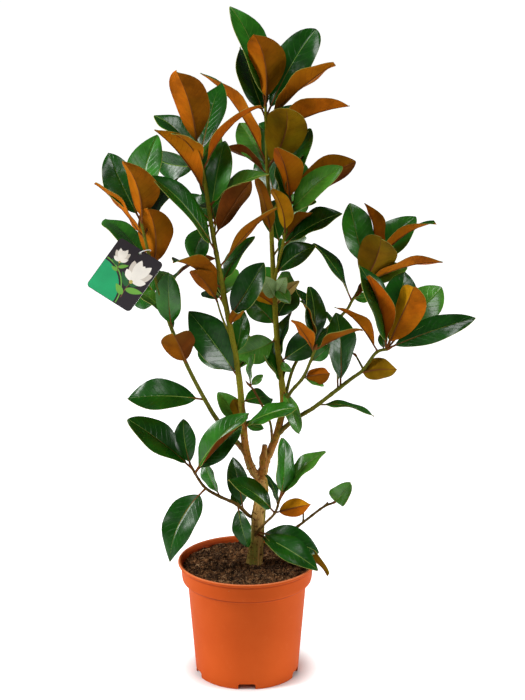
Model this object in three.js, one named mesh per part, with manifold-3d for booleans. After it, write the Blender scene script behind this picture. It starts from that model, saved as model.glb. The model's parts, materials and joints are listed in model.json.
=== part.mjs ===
// A young evergreen magnolia in its nursery pot, with the care label hung in its leaves.
// Millimetres, +Z up. The front looks along +Y, with +X to the right, and the origin is
// the middle of the pot's underside.
import * as THREE from "three";
import { mergeVertices } from "three/addons/utils/BufferGeometryUtils.js";
import Module from "manifold-3d";

const wasm = await Module();
wasm.setup();

// ---- driving sizes --------------------------------------------------------------------

const gap = 0.3; // between two pieces that meet
const potTall = 206;
const potRimRadius = 120;
const potFootRadius = 89.5;
const potCollarTall = 36;
const potWall = 2.5;
const potFloor = 3;
const channelRise = 8; // the floor's ring above the ground, round a flat middle pad
const padRadius = 40;
const notchCount = 5;
const notchWide = 30;
const notchTall = 11;
const potSides = 36;

const soilTop = 198;
const soilEdgeDrop = 2;
const soilFlatRadius = 30; // level ground where the trunk is cut

const cardWide = 88;
const cardTall = 98;
const cardThick = 1.2;
const cardCorner = 7;
const loopLong = 9; // half the length of the strap's loop
const loopWide = 6;
const strapRadius = 0.8;

const leafWidest = [0, 0.24, 0.94, 0.88, 0]; // share of the half width at each station
const leafStations = [0, 0.13, 0.38, 0.72, 1];
const petioleRadius = 1.6;
const leafThinness = 80; // a leaf's length over its thickness
const finestFacet = 0.25; // facets finer than this are cleared from a joined mass

// ---- limbs ----------------------------------------------------------------------------

// Each limb is one line of bends that springs from a place along its parent. It is bare
// wood up to `split`, a share of its length, and the stem of a leafy mass beyond it.
const limbs = {
  trunk: {
    from: new THREE.Vector3(12, 0, soilTop - 10),
    bends: [[17, 0, 241], [20, 0, 285], [26, 0, 335], [24, 0, 355]],
    radii: [12.5, 10.5],
    flare: 3,
    split: 1,
    sides: 12,
    steps: 8,
  },
  leftLeader: {
    parent: "trunk",
    at: 0.97,
    bends: [
      [10, -2, 370], [-1, -5, 406], [-7, -12, 470], [-14, -22, 552],
      [-36, -36, 684], [-55, -45, 798], [-68, -50, 889], [-79, -50, 936],
    ],
    radii: [7.8, 2.5],
    split: 0.315,
    sides: 7,
    steps: 14,
  },
  rightLeader: {
    parent: "trunk",
    at: 0.97,
    bends: [
      [33, 3, 387], [42, 5, 406], [54, 10, 440], [62, 15, 493], [52, 30, 590],
      [45, 45, 712], [41, 52, 795], [35, 58, 883], [32, 60, 989],
    ],
    radii: [8, 2.4],
    split: 0.465,
    sides: 7,
    steps: 16,
  },
  prunedStub: {
    parent: "rightLeader",
    at: 0.06,
    bends: [[29, -2, 392], [31, -4, 416]],
    radii: [6, 4.4],
    split: 1,
    sides: 8,
    steps: 4,
  },
  sideShoot: {
    parent: "rightLeader",
    at: 0.645,
    bends: [[62, 34, 762], [73, 25, 832]],
    radii: [3, 2],
    split: 0,
    sides: 6,
    steps: 6,
  },
  leftBough: {
    parent: "leftLeader",
    at: 0.235,
    bends: [
      [-20, -9, 427], [-48, -20, 464], [-68, -32, 502], [-100, -50, 574],
      [-132, -70, 666], [-156, -85, 761], [-170, -90, 827],
    ],
    radii: [4.8, 2.2],
    split: 0.42,
    sides: 6,
    steps: 12,
  },
  rightLowBough: {
    parent: "rightLeader",
    at: 0.31,
    bends: [
      [80, 5, 458], [102, 0, 474], [118, -4, 486], [174, -20, 537],
      [196, -25, 556], [217, -32, 588], [235, -36, 596],
    ],
    radii: [4.2, 2.5],
    split: 0.42,
    sides: 6,
    steps: 11,
  },
  rightMidBough: {
    parent: "rightLeader",
    at: 0.41,
    bends: [[74, 6, 506], [95, -18, 540], [107, -32, 572], [115, -42, 598]],
    radii: [3.4, 2.2],
    split: 0.47,
    sides: 6,
    steps: 10,
  },
  rightHighBough: {
    parent: "rightLeader",
    at: 0.42,
    bends: [[83, 40, 548], [126, 65, 592], [169, 85, 628], [183, 92, 649], [214, 105, 696]],
    radii: [3, 2.2],
    split: 0.6,
    sides: 6,
    steps: 12,
  },
  innerTwig: {
    parent: "rightLeader",
    at: 0.24,
    bends: [[41, 0, 451], [30, -8, 480], [13, -15, 516], [4, -18, 528]],
    radii: [2.3, 1.7],
    split: 0.5,
    sides: 6,
    steps: 8,
  },
  lowLeftShoot: {
    parent: "trunk",
    at: 0.5,
    bends: [[5, -4, 287], [-17, -12, 311], [-51, -20, 331], [-74, -26, 350], [-94, -32, 386]],
    radii: [3.6, 2.2],
    split: 0,
    sides: 6,
    steps: 10,
  },
  frontShoot: {
    parent: "trunk",
    at: 0.28,
    bends: [[15, -12, 256], [30, -30, 282], [48, -48, 309], [57, -58, 340]],
    radii: [2.6, 2],
    split: 0,
    sides: 6,
    steps: 8,
  },
  lowRightShoot: {
    parent: "trunk",
    at: 0.18,
    bends: [[30, 3, 232], [81, 12, 257], [130, 25, 291], [150, 30, 299]],
    radii: [2.8, 2],
    split: 0,
    sides: 6,
    steps: 8,
  },
  leftSprig: {
    parent: "leftLeader",
    at: 0.555,
    bends: [[-40, -36, 650], [-49, -40, 682]],
    radii: [2, 1.5],
    split: 0,
    sides: 5,
    steps: 4,
  },
  snagTall: {
    parent: "lowRightShoot",
    at: 0.78,
    bends: [[141, 27, 301]],
    radii: [1.7, 1.6],
    split: 0,
    sides: 5,
    steps: 1,
  },
  snagShort: {
    parent: "lowRightShoot",
    at: 0.58,
    bends: [[98, 19, 291]],
    radii: [1.6, 1.4],
    split: 0,
    sides: 5,
    steps: 1,
  },
};

// ---- foliage --------------------------------------------------------------------------

// The leaves of each shoot: [at, lean, toward, long, wide, turn, sway]. A leaf is rooted `at`
// a share of the shoot's length, leans from upright to the right, reaches toward the front,
// and turns its glossy top away from the front by `turn` degrees about its own length. A
// leaf bowed to one side has a `sway` of its own; the seed deals out the others.
const leaves = {
  leftLeader: [
    [1.0, -12, 25, 155, 62, 158],
    [0.96, 16, -30, 138, 60, -36, 0.03],
    [0.96, -48, -25, 108, 48, 50],
    [0.91, -33, 30, 95, 42, 110],
    [0.83, -36, 10, 142, 60, 115],
    [0.9, 39, 5, 145, 46, -108],
    [0.78, 10, -10, 128, 56, -22, 0.02],
    [0.8, -95, -62, 50, 24, 60],
    [0.805, 60, 0, 112, 48, -65],
    [0.74, 30, 15, 124, 54, -125],
    [0.71, -34, 25, 197, 58, 64, 0],
    [0.77, -156, -5, 75, 44, 25],
    [0.64, -49, 30, 120, 54, 115],
    [0.65, 34, -10, 96, 42, -55],
    [0.68, 42, 5, 142, 36, -100],
    [0.59, 30, 5, 114, 52, -15],
    [0.58, 27, 50, 62, 28, -120],
    [0.53, 11, -15, 76, 36, -30],
    [0.485, -34, 6, 146, 66, 15, 0],
    [0.36, 108, 10, 38, 18, -5],
    [0.335, -37, -20, 77, 38, 20],
    [0.335, -17, 5, 58, 26, 165],
    [0.34, 60, 25, 112, 42, -55],
    [0.42, 98, -46, 78, 36, -35],
  ],
  leftSprig: [
    [0.95, -33, 20, 80, 36, 145],
  ],
  rightLeader: [
    [1.0, -18, -10, 175, 62, 42, 0.03],
    [1.0, -8, 25, 145, 62, 162, -0.05],
    [0.98, -20, -25, 132, 62, 34, -0.05],
    [0.98, 30, -15, 172, 64, -14, -0.02],
    [0.98, 49, 10, 150, 58, -115],
    [0.97, 62, -30, 75, 30, -65],
    [0.94, 65, 10, 154, 56, -110],
    [0.89, 15, 30, 138, 70, 180, -0.08],
    [0.9, -33, 0, 188, 50, 100],
    [0.89, -33, -20, 92, 54, 0],
    [0.88, -58, -10, 83, 36, 115],
    [0.74, -13, 10, 112, 36, 130],
    [0.62, -24, 35, 64, 28, 18],
    [0.62, 24, 25, 52, 26, -18],
    [0.64, 126, 50, 52, 24, -12],
    [0.61, -52, 20, 46, 22, 150],
    [0.61, 40, 5, 62, 26, -140],
    [0.58, -50, -25, 76, 46, 8],
    [0.59, 36, -25, 64, 44, -8],
    [0.56, -106, 20, 83, 50, -10],
    [0.475, -34, -10, 82, 36, 65],
    [0.475, -27, -20, 84, 38, 55],
    [0.51, 4, -30, 68, 30, -55],
    [0.52, 118, 40, 30, 14, 0],
    [0.475, 3, -30, 44, 20, -40],
    [0.52, 14, -20, 88, 38, -60],
    [0.52, 55, 0, 100, 50, -18],
    [0.47, 157, 20, 84, 30, -28],
  ],
  sideShoot: [
    [1.0, -12, 25, 117, 52, 145],
    [1.0, 15, -10, 83, 36, -115],
    [1.0, 15, -25, 135, 56, -38],
    [0.98, 55, 0, 132, 56, -150],
    [0.86, 43, 14, 126, 54, -42],
    [0.84, 55, 20, 58, 26, -60],
    [0.56, 42, 15, 70, 30, -130],
    [0.46, 57, 10, 117, 52, -45],
    [0.61, -14, 20, 92, 42, 130, -0.05],
    [0.94, -17, -15, 73, 32, 50],
    [0.1, 50, 10, 86, 42, -25],
    [0.16, 10, -20, 55, 24, 60],
  ],
  leftBough: [
    [1.0, -28, -25, 128, 60, 20, -0.03],
    [0.99, -11, 25, 130, 58, 145, -0.07],
    [0.98, 9, -20, 152, 62, -30, -0.05],
    [0.83, -3, 11, 110, 56, 180, -0.08],
    [0.93, -39, 0, 122, 42, 108],
    [0.84, -55, -50, 155, 58, 45],
    [0.94, 32, -30, 116, 50, -50],
    [0.76, 61, -45, 136, 34, -85, 0],
    [0.672, -2, 10, 103, 46, -15],
    [0.66, -27, -20, 62, 28, 60],
    [0.71, -55, -15, 67, 30, 55],
    [0.57, -15, 42, 99, 56, 180],
    [0.44, -89, 0, 131, 58, 20],
  ],
  rightLowBough: [
    [0.53, -2, -5, 127, 56, 35],
    [0.52, -7, -25, 135, 58, 65],
    [0.44, 96, 10, 97, 34, -76],
    [0.66, 76, 25, 72, 42, 175],
    [0.99, -17, 5, 155, 58, 50, 0],
    [1.0, -14, 15, 145, 54, 125],
    [1.0, 18, 25, 142, 60, 145],
    [1.0, 15, -25, 137, 64, 6],
    [1.0, 43, -15, 140, 58, -14],
    [0.98, 69, 3, 160, 44, -20, 0],
    [0.96, -2, -30, 32, 16, 0],
    [0.88, -40, 5, 109, 36, 106],
  ],
  rightMidBough: [
    [0.98, -3, -10, 106, 48, 45],
    [0.96, -16, -25, 111, 44, 55],
    [0.94, -12, 0, 92, 34, 100],
    [0.94, -29, 20, 78, 36, 120],
    [0.98, 60, 15, 92, 40, -110],
    [0.75, 46, 10, 46, 24, 0],
    [0.52, 72, 30, 54, 34, 180],
    [0.51, 109, 10, 38, 18, -40],
  ],
  rightHighBough: [
    [0.99, -16, -10, 124, 58, 20, -0.08],
    [1.0, -3, 0, 120, 46, 115],
    [0.93, 14, 38, 127, 66, 180, -0.04],
    [1.0, 42, -20, 125, 60, -20],
    [1.0, 47, 10, 143, 32, -100],
    [0.92, 69, 15, 146, 44, -108],
    [0.9, 68, -5, 86, 40, -40],
    [0.8, 91, -20, 32, 18, 0],
    [0.8, 28, 0, 36, 16, 135],
    [0.78, -33, 0, 122, 46, 62],
  ],
  innerTwig: [
    [0.94, 7, 5, 58, 26, -60],
    [0.94, 46, 10, 31, 14, -15],
  ],
  lowLeftShoot: [
    [0.94, 37, 10, 147, 50, -35, 0],
    [0.98, -49, 5, 143, 60, 40],
    [1.0, -10, -15, 83, 38, 0],
    [0.57, -27, -15, 66, 30, -45],
    [0.76, -152, 15, 141, 58, 15, 0.09],
    [0.39, 165, 20, 75, 34, 15],
    [0.32, -12, -15, 92, 42, -25],
    [0.34, -35, -30, 33, 18, 0],
    [0.94, 44, -2, 116, 42, -12],
  ],
  frontShoot: [
    [0.75, -48, 15, 108, 46, 45],
    [0.75, 68, 20, 72, 32, 180],
    [1.0, 3, -5, 104, 46, 40],
    [1.0, 15, -25, 80, 36, 55],
    [0.98, 43, -10, 112, 38, -50],
    [0.88, -23, -40, 60, 28, 70],
    [0.28, 113, 25, 127, 46, -32, 0],
    [0.33, 107, 5, 112, 50, -30],
  ],
  lowRightShoot: [
    [1.0, 33, 20, 55, 42, 0],
    [0.39, 120, 20, 108, 36, -110],
  ],
};

// The back of the crown fills itself: sprigs that a seed of their own, grow, sets along a
// stem, each a short twig that heads away from the front and carries a few leaves.
const sprigLong = 38;
const sprigLeaves = 3;
const masses = {
  left_leader_foliage: { stems: ["leftLeader", "leftSprig"], sprigs: 4, grow: 28, seed: 3 },
  right_leader_foliage: { stems: ["rightLeader", "sideShoot"], sprigs: 4, grow: 63, seed: 8 },
  left_bough_foliage: { stems: ["leftBough"], sprigs: 1, grow: 30, seed: 5 },
  right_low_bough_foliage: { stems: ["rightLowBough"], sprigs: 1, grow: 79, seed: 2 },
  right_mid_bough_foliage: { stems: ["rightMidBough"], sprigs: 0, seed: 4 },
  right_high_bough_foliage: { stems: ["rightHighBough"], sprigs: 0, seed: 6 },
  inner_twig_foliage: { stems: ["innerTwig"], sprigs: 0, seed: 7 },
  low_left_foliage: { stems: ["lowLeftShoot"], sprigs: 0, seed: 9 },
  front_foliage: { stems: ["frontShoot"], sprigs: 0, seed: 10 },
  low_right_foliage: {
    stems: ["lowRightShoot", "snagTall", "snagShort"],
    sprigs: 0,
    seed: 11,
  },
};

// ---- helpers --------------------------------------------------------------------------

const radians = THREE.MathUtils.degToRad;
const mix = THREE.MathUtils.lerp;

// A number from 0 to 1 that depends only on the mass's seed and on a count.
function chance(seed, count) {
  const wave = Math.sin(seed * 78.233 + count * 12.9898) * 43758.5453;
  return wave - Math.floor(wave);
}

// One closed solid of a geometry, without the faces that have shrunk to a line.
function solidOf(geometry) {
  const bare = geometry.clone();
  bare.deleteAttribute("normal");
  bare.deleteAttribute("uv");
  const welded = mergeVertices(bare, 1e-3);
  const corners = welded.index.array;
  const kept = [];
  for (let i = 0; i < corners.length; i += 3) {
    const [a, b, c] = [corners[i], corners[i + 1], corners[i + 2]];
    if (a !== b && b !== c && c !== a) kept.push(a, b, c);
  }
  const mesh = new wasm.Mesh({
    numProp: 3,
    vertProperties: new Float32Array(welded.attributes.position.array),
    triVerts: new Uint32Array(kept),
  });
  return new wasm.Manifold(mesh);
}

// The largest body of a solid: a scrap that a cut has set loose is dropped.
function largest(solid) {
  const bodies = solid.decompose();
  return bodies.reduce((best, body) => (body.volume() > best.volume() ? body : best));
}

function geometryOf(solid) {
  const { vertProperties, triVerts } = solid.getMesh();
  const geometry = new THREE.BufferGeometry();
  geometry.setAttribute("position", new THREE.BufferAttribute(vertProperties, 3));
  geometry.setIndex(new THREE.BufferAttribute(triVerts, 1));
  geometry.computeVertexNormals();
  return geometry;
}

// ---- limbs as solids ------------------------------------------------------------------

const lines = {};
for (const [name, limb] of Object.entries(limbs)) {
  const start = limb.from ?? lines[limb.parent].getPoint(limb.at);
  const bends = limb.bends.map((bend) => new THREE.Vector3(...bend));
  lines[name] = new THREE.CatmullRomCurve3([start, ...bends], false, "catmullrom", 0.5);
}

function limbRadius(limb, share) {
  const flare = (limb.flare ?? 0) * Math.exp(-7 * share);
  return mix(limb.radii[0], limb.radii[1], share) + flare;
}

// A stretch of a limb from one share of its line to another: a cylinder drawn along the
// line, tapering, and swollen by `grow` where it serves as a cutter.
function limbSolid(name, low, high, grow = 0) {
  const limb = limbs[name];
  const line = lines[name];
  const steps = Math.max(1, Math.round(limb.steps * (high - low)));
  const tube = new THREE.CylinderGeometry(1, 1, 1, limb.sides, steps);
  const place = tube.attributes.position;
  const depth = new THREE.Vector3(0, 1, 0);
  for (let i = 0; i < place.count; i++) {
    const share = mix(low, high, place.getY(i) + 0.5);
    const along = line.getTangent(share);
    const side = along.clone().cross(depth).normalize();
    const front = side.clone().cross(along);
    const radius = limbRadius(limb, share) + grow;
    const point = line.getPoint(share);
    point.addScaledVector(side, place.getX(i) * radius);
    point.addScaledVector(front, place.getZ(i) * radius);
    place.setXYZ(i, point.x, point.y, point.z);
  }
  return solidOf(tube);
}

// The bare wood of a limb, cut clear of the limbs that it springs from and lies against.
function woodSolid(name, neighbours) {
  const limb = limbs[name];
  let wood = limbSolid(name, 0, limb.split);
  for (const other of neighbours) {
    wood = wood.subtract(limbSolid(other, 0, limbs[other].split, gap));
  }
  wood = wood.trimByPlane([0, 0, 1], soilTop + gap);
  return largest(wood.simplify(0.1));
}

// ---- leaves as solids -----------------------------------------------------------------

const facing = new THREE.Vector3(0, -1, 0.28).normalize(); // square to the front

// A leaf's root, its way and the way its glossy top faces, from one row of the table.
function leafFrame(root, row) {
  const [, lean, toward, long, wide, turn] = row;
  const level = Math.cos(radians(toward));
  const way = new THREE.Vector3(
    Math.sin(radians(lean)) * level,
    -Math.sin(radians(toward)),
    Math.cos(radians(lean)) * level,
  );
  const top = facing.clone().addScaledVector(way, -facing.dot(way)).normalize();
  top.applyAxisAngle(way, radians(turn));
  const side = way.clone().cross(top);
  return { root, way, top, side, long, wide, row };
}

// How a leaf bends, from the seed: its arch, its sway to one side and its folded halves.
function leafBend(seed, count, row) {
  return {
    arch: mix(0.03, 0.09, chance(seed, count)),
    sway: row[6] ?? mix(-0.05, 0.05, chance(seed, count + 0.3)),
    fold: mix(0.2, 0.48, chance(seed, count + 0.6)),
  };
}

// The midrib's place at a share of the leaf's length. Root and tip stay on the leaf's way.
function midrib(frame, bend, share) {
  const hump = 4 * share * (1 - share) * frame.long;
  return frame.root
    .clone()
    .addScaledVector(frame.way, share * frame.long)
    .addScaledVector(frame.top, bend.arch * hump)
    .addScaledVector(frame.side, bend.sway * hump);
}

// The quads of a leaf's two faces are split from margin to midrib along the same diagonals,
// so that the faces can't cross where the leaf bends. Every second side's are swapped.
function matchDiagonals(index, rows) {
  for (const side of [1, 3]) {
    for (let row = 0; row < rows; row++) {
      const quad = (side * rows + row) * 6;
      const corner = index.getX(quad + 4);
      index.setX(quad + 2, corner);
      index.setX(quad + 3, index.getX(quad));
    }
  }
}

// A four-sided cylinder flattened to a leaf: two ridges at the midrib and two margins.
function leafSolid(frame, bend) {
  const last = leafStations.length - 1;
  const blade = new THREE.CylinderGeometry(1, 1, 1, 4, last);
  matchDiagonals(blade.index, last);
  const place = blade.attributes.position;
  const halfThick = frame.long / leafThinness / 2;
  for (let i = 0; i < place.count; i++) {
    const station = Math.round((place.getY(i) + 0.5) * last);
    const share = leafStations[station];
    const tip = station === last;
    const halfWide = Math.max((leafWidest[station] * frame.wide) / 2, tip ? 0 : petioleRadius);
    const halfDeep = tip ? 0 : Math.max(halfThick, petioleRadius * (1 - 3 * share));
    const point = midrib(frame, bend, share);
    const fold = station < 2 ? 0 : bend.fold * Math.abs(place.getX(i)) * halfWide;
    point.addScaledVector(frame.side, place.getX(i) * halfWide);
    point.addScaledVector(frame.top, place.getZ(i) * halfDeep + fold);
    place.setXYZ(i, point.x, point.y, point.z);
  }
  return solidOf(blade);
}

// ---- the seeded back of the crown -----------------------------------------------------

// Where the leaves and the limbs run, so that a sprig can keep clear of them.
const limbMarks = [];
for (const [name, line] of Object.entries(lines)) {
  for (const point of line.getPoints(24)) limbMarks.push({ name, point });
}
const leafMarks = [];
const limbClear = 26;
const leafClear = 32;

function markLeaf(mass, frame) {
  for (const share of [0.45, 0.75, 1]) {
    const point = frame.root.clone().addScaledVector(frame.way, share * frame.long);
    leafMarks.push({ mass, point });
  }
}

function crowded(mass, stem, frame) {
  const probes = [0.5, 0.75, 1].map((share) =>
    frame.root.clone().addScaledVector(frame.way, share * frame.long),
  );
  return probes.some(
    (probe) =>
      limbMarks.some((mark) => mark.name !== stem && mark.point.distanceTo(probe) < limbClear) ||
      leafMarks.some((mark) => mark.mass !== mass && mark.point.distanceTo(probe) < leafClear),
  );
}

// One sprig: a twig that heads back from the stem, and leaves fanned round its tip.
function growSprig(massName, mass, number) {
  const stem = mass.stems[0];
  const base = number * 7 + 40;
  const low = Math.max(limbs[stem].split, 0.3) + 0.08;
  const at = mix(low, 0.94, (number + 0.5) / mass.sprigs);
  const root = lines[stem].getPoint(at);
  const lean = mix(-50, 50, chance(mass.grow, base));
  const twig = leafFrame(root, [at, lean, -62, sprigLong, 1, 0]);
  const tip = root.clone().addScaledVector(twig.way, sprigLong);
  const rows = [];
  for (let k = 0; k < sprigLeaves; k++) {
    const fan = (k - (sprigLeaves - 1) / 2) * 58;
    const toward = mix(-75, -35, chance(mass.grow, base + k + 1));
    const long = mix(85, 115, chance(mass.grow, base + k + 3));
    const turn = mix(-35, 35, chance(mass.grow, base + k + 5));
    rows.push([1, lean + fan, toward, long, long * 0.45, turn]);
  }
  const frames = rows.map((row) => leafFrame(tip, row));
  return { twig, frames: frames.filter((frame) => !crowded(massName, stem, frame)) };
}

// ---- masses as solids -----------------------------------------------------------------

function listedFrames(stem) {
  const rows = leaves[stem] ?? [];
  return rows.map((row) => leafFrame(lines[stem].getPoint(row[0]), row));
}

for (const [massName, mass] of Object.entries(masses)) {
  for (const stem of mass.stems) {
    for (const frame of listedFrames(stem)) markLeaf(massName, frame);
  }
}

function massSolid(massName) {
  const mass = masses[massName];
  const solids = [];
  let count = 0;
  for (const stem of mass.stems) {
    const limb = limbs[stem];
    const clear = limb.split > 0 ? gap / lines[stem].getLength() : 0;
    solids.push(limbSolid(stem, limb.split + clear, 1));
    for (const frame of listedFrames(stem)) {
      solids.push(leafSolid(frame, leafBend(mass.seed, count, frame.row)));
      count += 1;
    }
  }
  for (let number = 0; number < mass.sprigs; number++) {
    const { twig, frames } = growSprig(massName, mass, number);
    if (frames.length === 0) continue;
    solids.push(twigSolid(twig));
    for (const frame of frames) {
      markLeaf(massName, frame);
      solids.push(leafSolid(frame, leafBend(mass.seed, count, frame.row)));
      count += 1;
    }
  }
  const cutters = Object.keys(limbs)
    .filter((name) => limbs[name].split > 0)
    .map((name) => limbSolid(name, 0, limbs[name].split, gap));
  const joined = wasm.Manifold.union(solids).subtract(wasm.Manifold.union(cutters));
  return largest(joined.simplify(finestFacet));
}

function twigSolid(twig) {
  const bar = new THREE.CylinderGeometry(1.5, 2, sprigLong + 2, 5, 1);
  bar.applyQuaternion(
    new THREE.Quaternion().setFromUnitVectors(new THREE.Vector3(0, 1, 0), twig.way),
  );
  const middle = twig.root.clone().addScaledVector(twig.way, sprigLong / 2 + 1);
  bar.translate(middle.x, middle.y, middle.z);
  return solidOf(bar);
}

// ---- pot and soil ---------------------------------------------------------------------

const collarLow = potTall - potCollarTall;
const bodyTopRadius = 103.5;
const collarRadius = 113;

function wallRadius(z) {
  return mix(potFootRadius, bodyTopRadius, z / collarLow);
}

function latheOf(profile) {
  const points = profile.map(([radius, z]) => new THREE.Vector2(radius, z));
  const lathe = new THREE.LatheGeometry(points, potSides);
  lathe.rotateX(Math.PI / 2);
  return lathe;
}

// The wall with its collar and rolled rim, over a floor raised in a ring round its pad.
function potSolid() {
  const floorTop = channelRise + potFloor;
  const profile = [
    [0, 0],
    [padRadius, 0],
    [padRadius + 3, channelRise],
    [potFootRadius - potWall - 1, channelRise],
    [potFootRadius - potWall, 0],
    [potFootRadius, 0],
    [wallRadius(collarLow - 3), collarLow - 3],
    [wallRadius(collarLow) + 4, collarLow - 1.5],
    [collarRadius - 1, collarLow + 2],
    [collarRadius, collarLow + 6],
    [collarRadius + 2, potTall - 7],
    [potRimRadius - 1.5, potTall - 6],
    [potRimRadius, potTall - 3],
    [potRimRadius - 1.5, potTall],
    [potRimRadius - 5, potTall],
    [collarRadius + 1 - potWall, potTall - 8],
    [collarRadius - potWall - 1, collarLow + 4],
    [wallRadius(collarLow) - potWall, collarLow],
    [wallRadius(floorTop) - potWall, floorTop],
    [padRadius + 1, floorTop],
    [padRadius - 2, potFloor],
    [0, potFloor],
  ];
  let pot = solidOf(latheOf(profile));
  const bite = new THREE.BoxGeometry(notchWide, 14, notchTall);
  for (let k = 0; k < notchCount; k++) {
    const spin = (k * 2 * Math.PI) / notchCount;
    const notch = bite.clone();
    notch.translate(0, -potFootRadius, notchTall / 2 - 0.5);
    notch.rotateZ(spin);
    pot = pot.subtract(solidOf(notch));
  }
  return pot;
}

// Peat up to just under the rim, level where the trunk stands and lower at the wall.
function soilSolid() {
  const low = channelRise + potFloor + gap;
  const edge = soilTop - soilEdgeDrop;
  const profile = [
    [0, low],
    [wallRadius(low) - potWall - gap, low],
    [wallRadius(collarLow) - potWall - gap, collarLow],
    [collarRadius - potWall - 1 - gap, collarLow + 4 + gap],
    [collarRadius + 0.8 - potWall - gap, edge],
    [soilFlatRadius, soilTop],
    [0, soilTop],
  ];
  return solidOf(latheOf(profile));
}

// ---- care label -----------------------------------------------------------------------

// The card hangs askew, its right side and its foot swung toward the front.
const cardRight = new THREE.Vector3(0.82, -0.4, -0.42).normalize();
const cardUp = new THREE.Vector3(0.55, 0.4, 0.74).projectOnPlane(cardRight).normalize();
const cardOut = cardRight.clone().cross(cardUp);
const holeDown = 6; // from the card's top edge to its hole
const holeRadius = 2.6;

// The strap's loop goes round the left bough's shoot and squarely through the card's hole.
const strapAt = 0.885;
const strapWay = new THREE.Vector3(-0.96, -0.04, -0.28).projectOnPlane(cardOut).normalize();
const strapHeld = 1.4 * limbRadius(limbs.leftBough, strapAt) + gap + strapRadius;
const strapMiddle = lines.leftBough
  .getPoint(strapAt)
  .addScaledVector(strapWay, loopLong - strapHeld);

// A ring drawn out to a loop, its round section kept.
function strapSolid() {
  const up = strapWay.clone().cross(cardOut);
  const ring = new THREE.TorusGeometry(loopLong, strapRadius, 6, 20);
  const place = ring.attributes.position;
  for (let i = 0; i < place.count; i++) {
    const angle = Math.atan2(place.getY(i), place.getX(i));
    const tube = Math.hypot(place.getX(i), place.getY(i)) - loopLong;
    const point = strapMiddle.clone();
    point.addScaledVector(strapWay, Math.cos(angle) * (loopLong + tube));
    point.addScaledVector(cardOut, Math.sin(angle) * (loopWide + tube));
    point.addScaledVector(up, place.getZ(i));
    place.setXYZ(i, point.x, point.y, point.z);
  }
  return solidOf(ring);
}

// A rounded card with its hole at the middle of its top edge.
function cardSolid() {
  const half = cardWide / 2;
  const inset = half - cardCorner;
  const foot = cardCorner - cardTall;
  const outline = new THREE.Shape();
  outline.moveTo(-inset, 0);
  outline.absarc(-inset, -cardCorner, cardCorner, Math.PI / 2, Math.PI, false);
  outline.absarc(-inset, foot, cardCorner, Math.PI, 1.5 * Math.PI, false);
  outline.absarc(inset, foot, cardCorner, -Math.PI / 2, 0, false);
  outline.absarc(inset, -cardCorner, cardCorner, 0, Math.PI / 2, false);
  const hole = new THREE.Path();
  hole.absarc(0, -holeDown, holeRadius, 0, 2 * Math.PI, true);
  outline.holes.push(hole);
  const card = new THREE.ExtrudeGeometry(outline, {
    depth: cardThick,
    bevelEnabled: false,
    curveSegments: 5,
  });
  const topEdge = strapMiddle.clone().addScaledVector(strapWay, loopLong);
  topEdge.addScaledVector(cardUp, holeDown).addScaledVector(cardOut, -cardThick / 2);
  const frame = new THREE.Matrix4().makeBasis(cardRight, cardUp, cardOut);
  card.applyMatrix4(frame.setPosition(topEdge));
  return solidOf(card);
}

// ---- the assembly ---------------------------------------------------------------------

const finishes = {
  terracotta: { color: 0xcc5a28, roughness: 0.5, metalness: 0 },
  peat: { color: 0x3a2417, roughness: 1, metalness: 0 },
  bark: { color: 0x9a6a3a, roughness: 0.85, metalness: 0 },
  foliage: { color: 0x2e6b2c, roughness: 0.35, metalness: 0 },
  card: { color: 0x2aa365, roughness: 0.4, metalness: 0 },
  strap: { color: 0xf2f2ee, roughness: 0.4, metalness: 0 },
};

const magnolia = new THREE.Group();

function add(name, solid, finish) {
  const material = new THREE.MeshStandardMaterial({ ...finishes[finish], name: finish });
  const mesh = new THREE.Mesh(geometryOf(solid), material);
  mesh.name = name;
  magnolia.add(mesh);
}

add("pot", potSolid(), "terracotta");
add("soil", soilSolid(), "peat");
add("trunk", woodSolid("trunk", []), "bark");
add("left_leader", woodSolid("leftLeader", ["trunk"]), "bark");
add("right_leader", woodSolid("rightLeader", ["trunk", "leftLeader"]), "bark");
add("pruned_stub", woodSolid("prunedStub", ["trunk", "leftLeader", "rightLeader"]), "bark");
add("left_bough", woodSolid("leftBough", ["leftLeader"]), "bark");
add("right_low_bough", woodSolid("rightLowBough", ["rightLeader"]), "bark");
add("right_mid_bough", woodSolid("rightMidBough", ["rightLeader"]), "bark");
add("right_high_bough", woodSolid("rightHighBough", ["rightLeader", "rightMidBough"]), "bark");
add("inner_twig", woodSolid("innerTwig", ["rightLeader"]), "bark");
for (const massName of Object.keys(masses)) add(massName, massSolid(massName), "foliage");
add("label_card", cardSolid(), "card");
add("label_strap", strapSolid(), "strap");

export default magnolia;
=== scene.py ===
import json
import math

import bmesh
import bpy
import numpy as np
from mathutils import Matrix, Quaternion, Vector, noise

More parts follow.
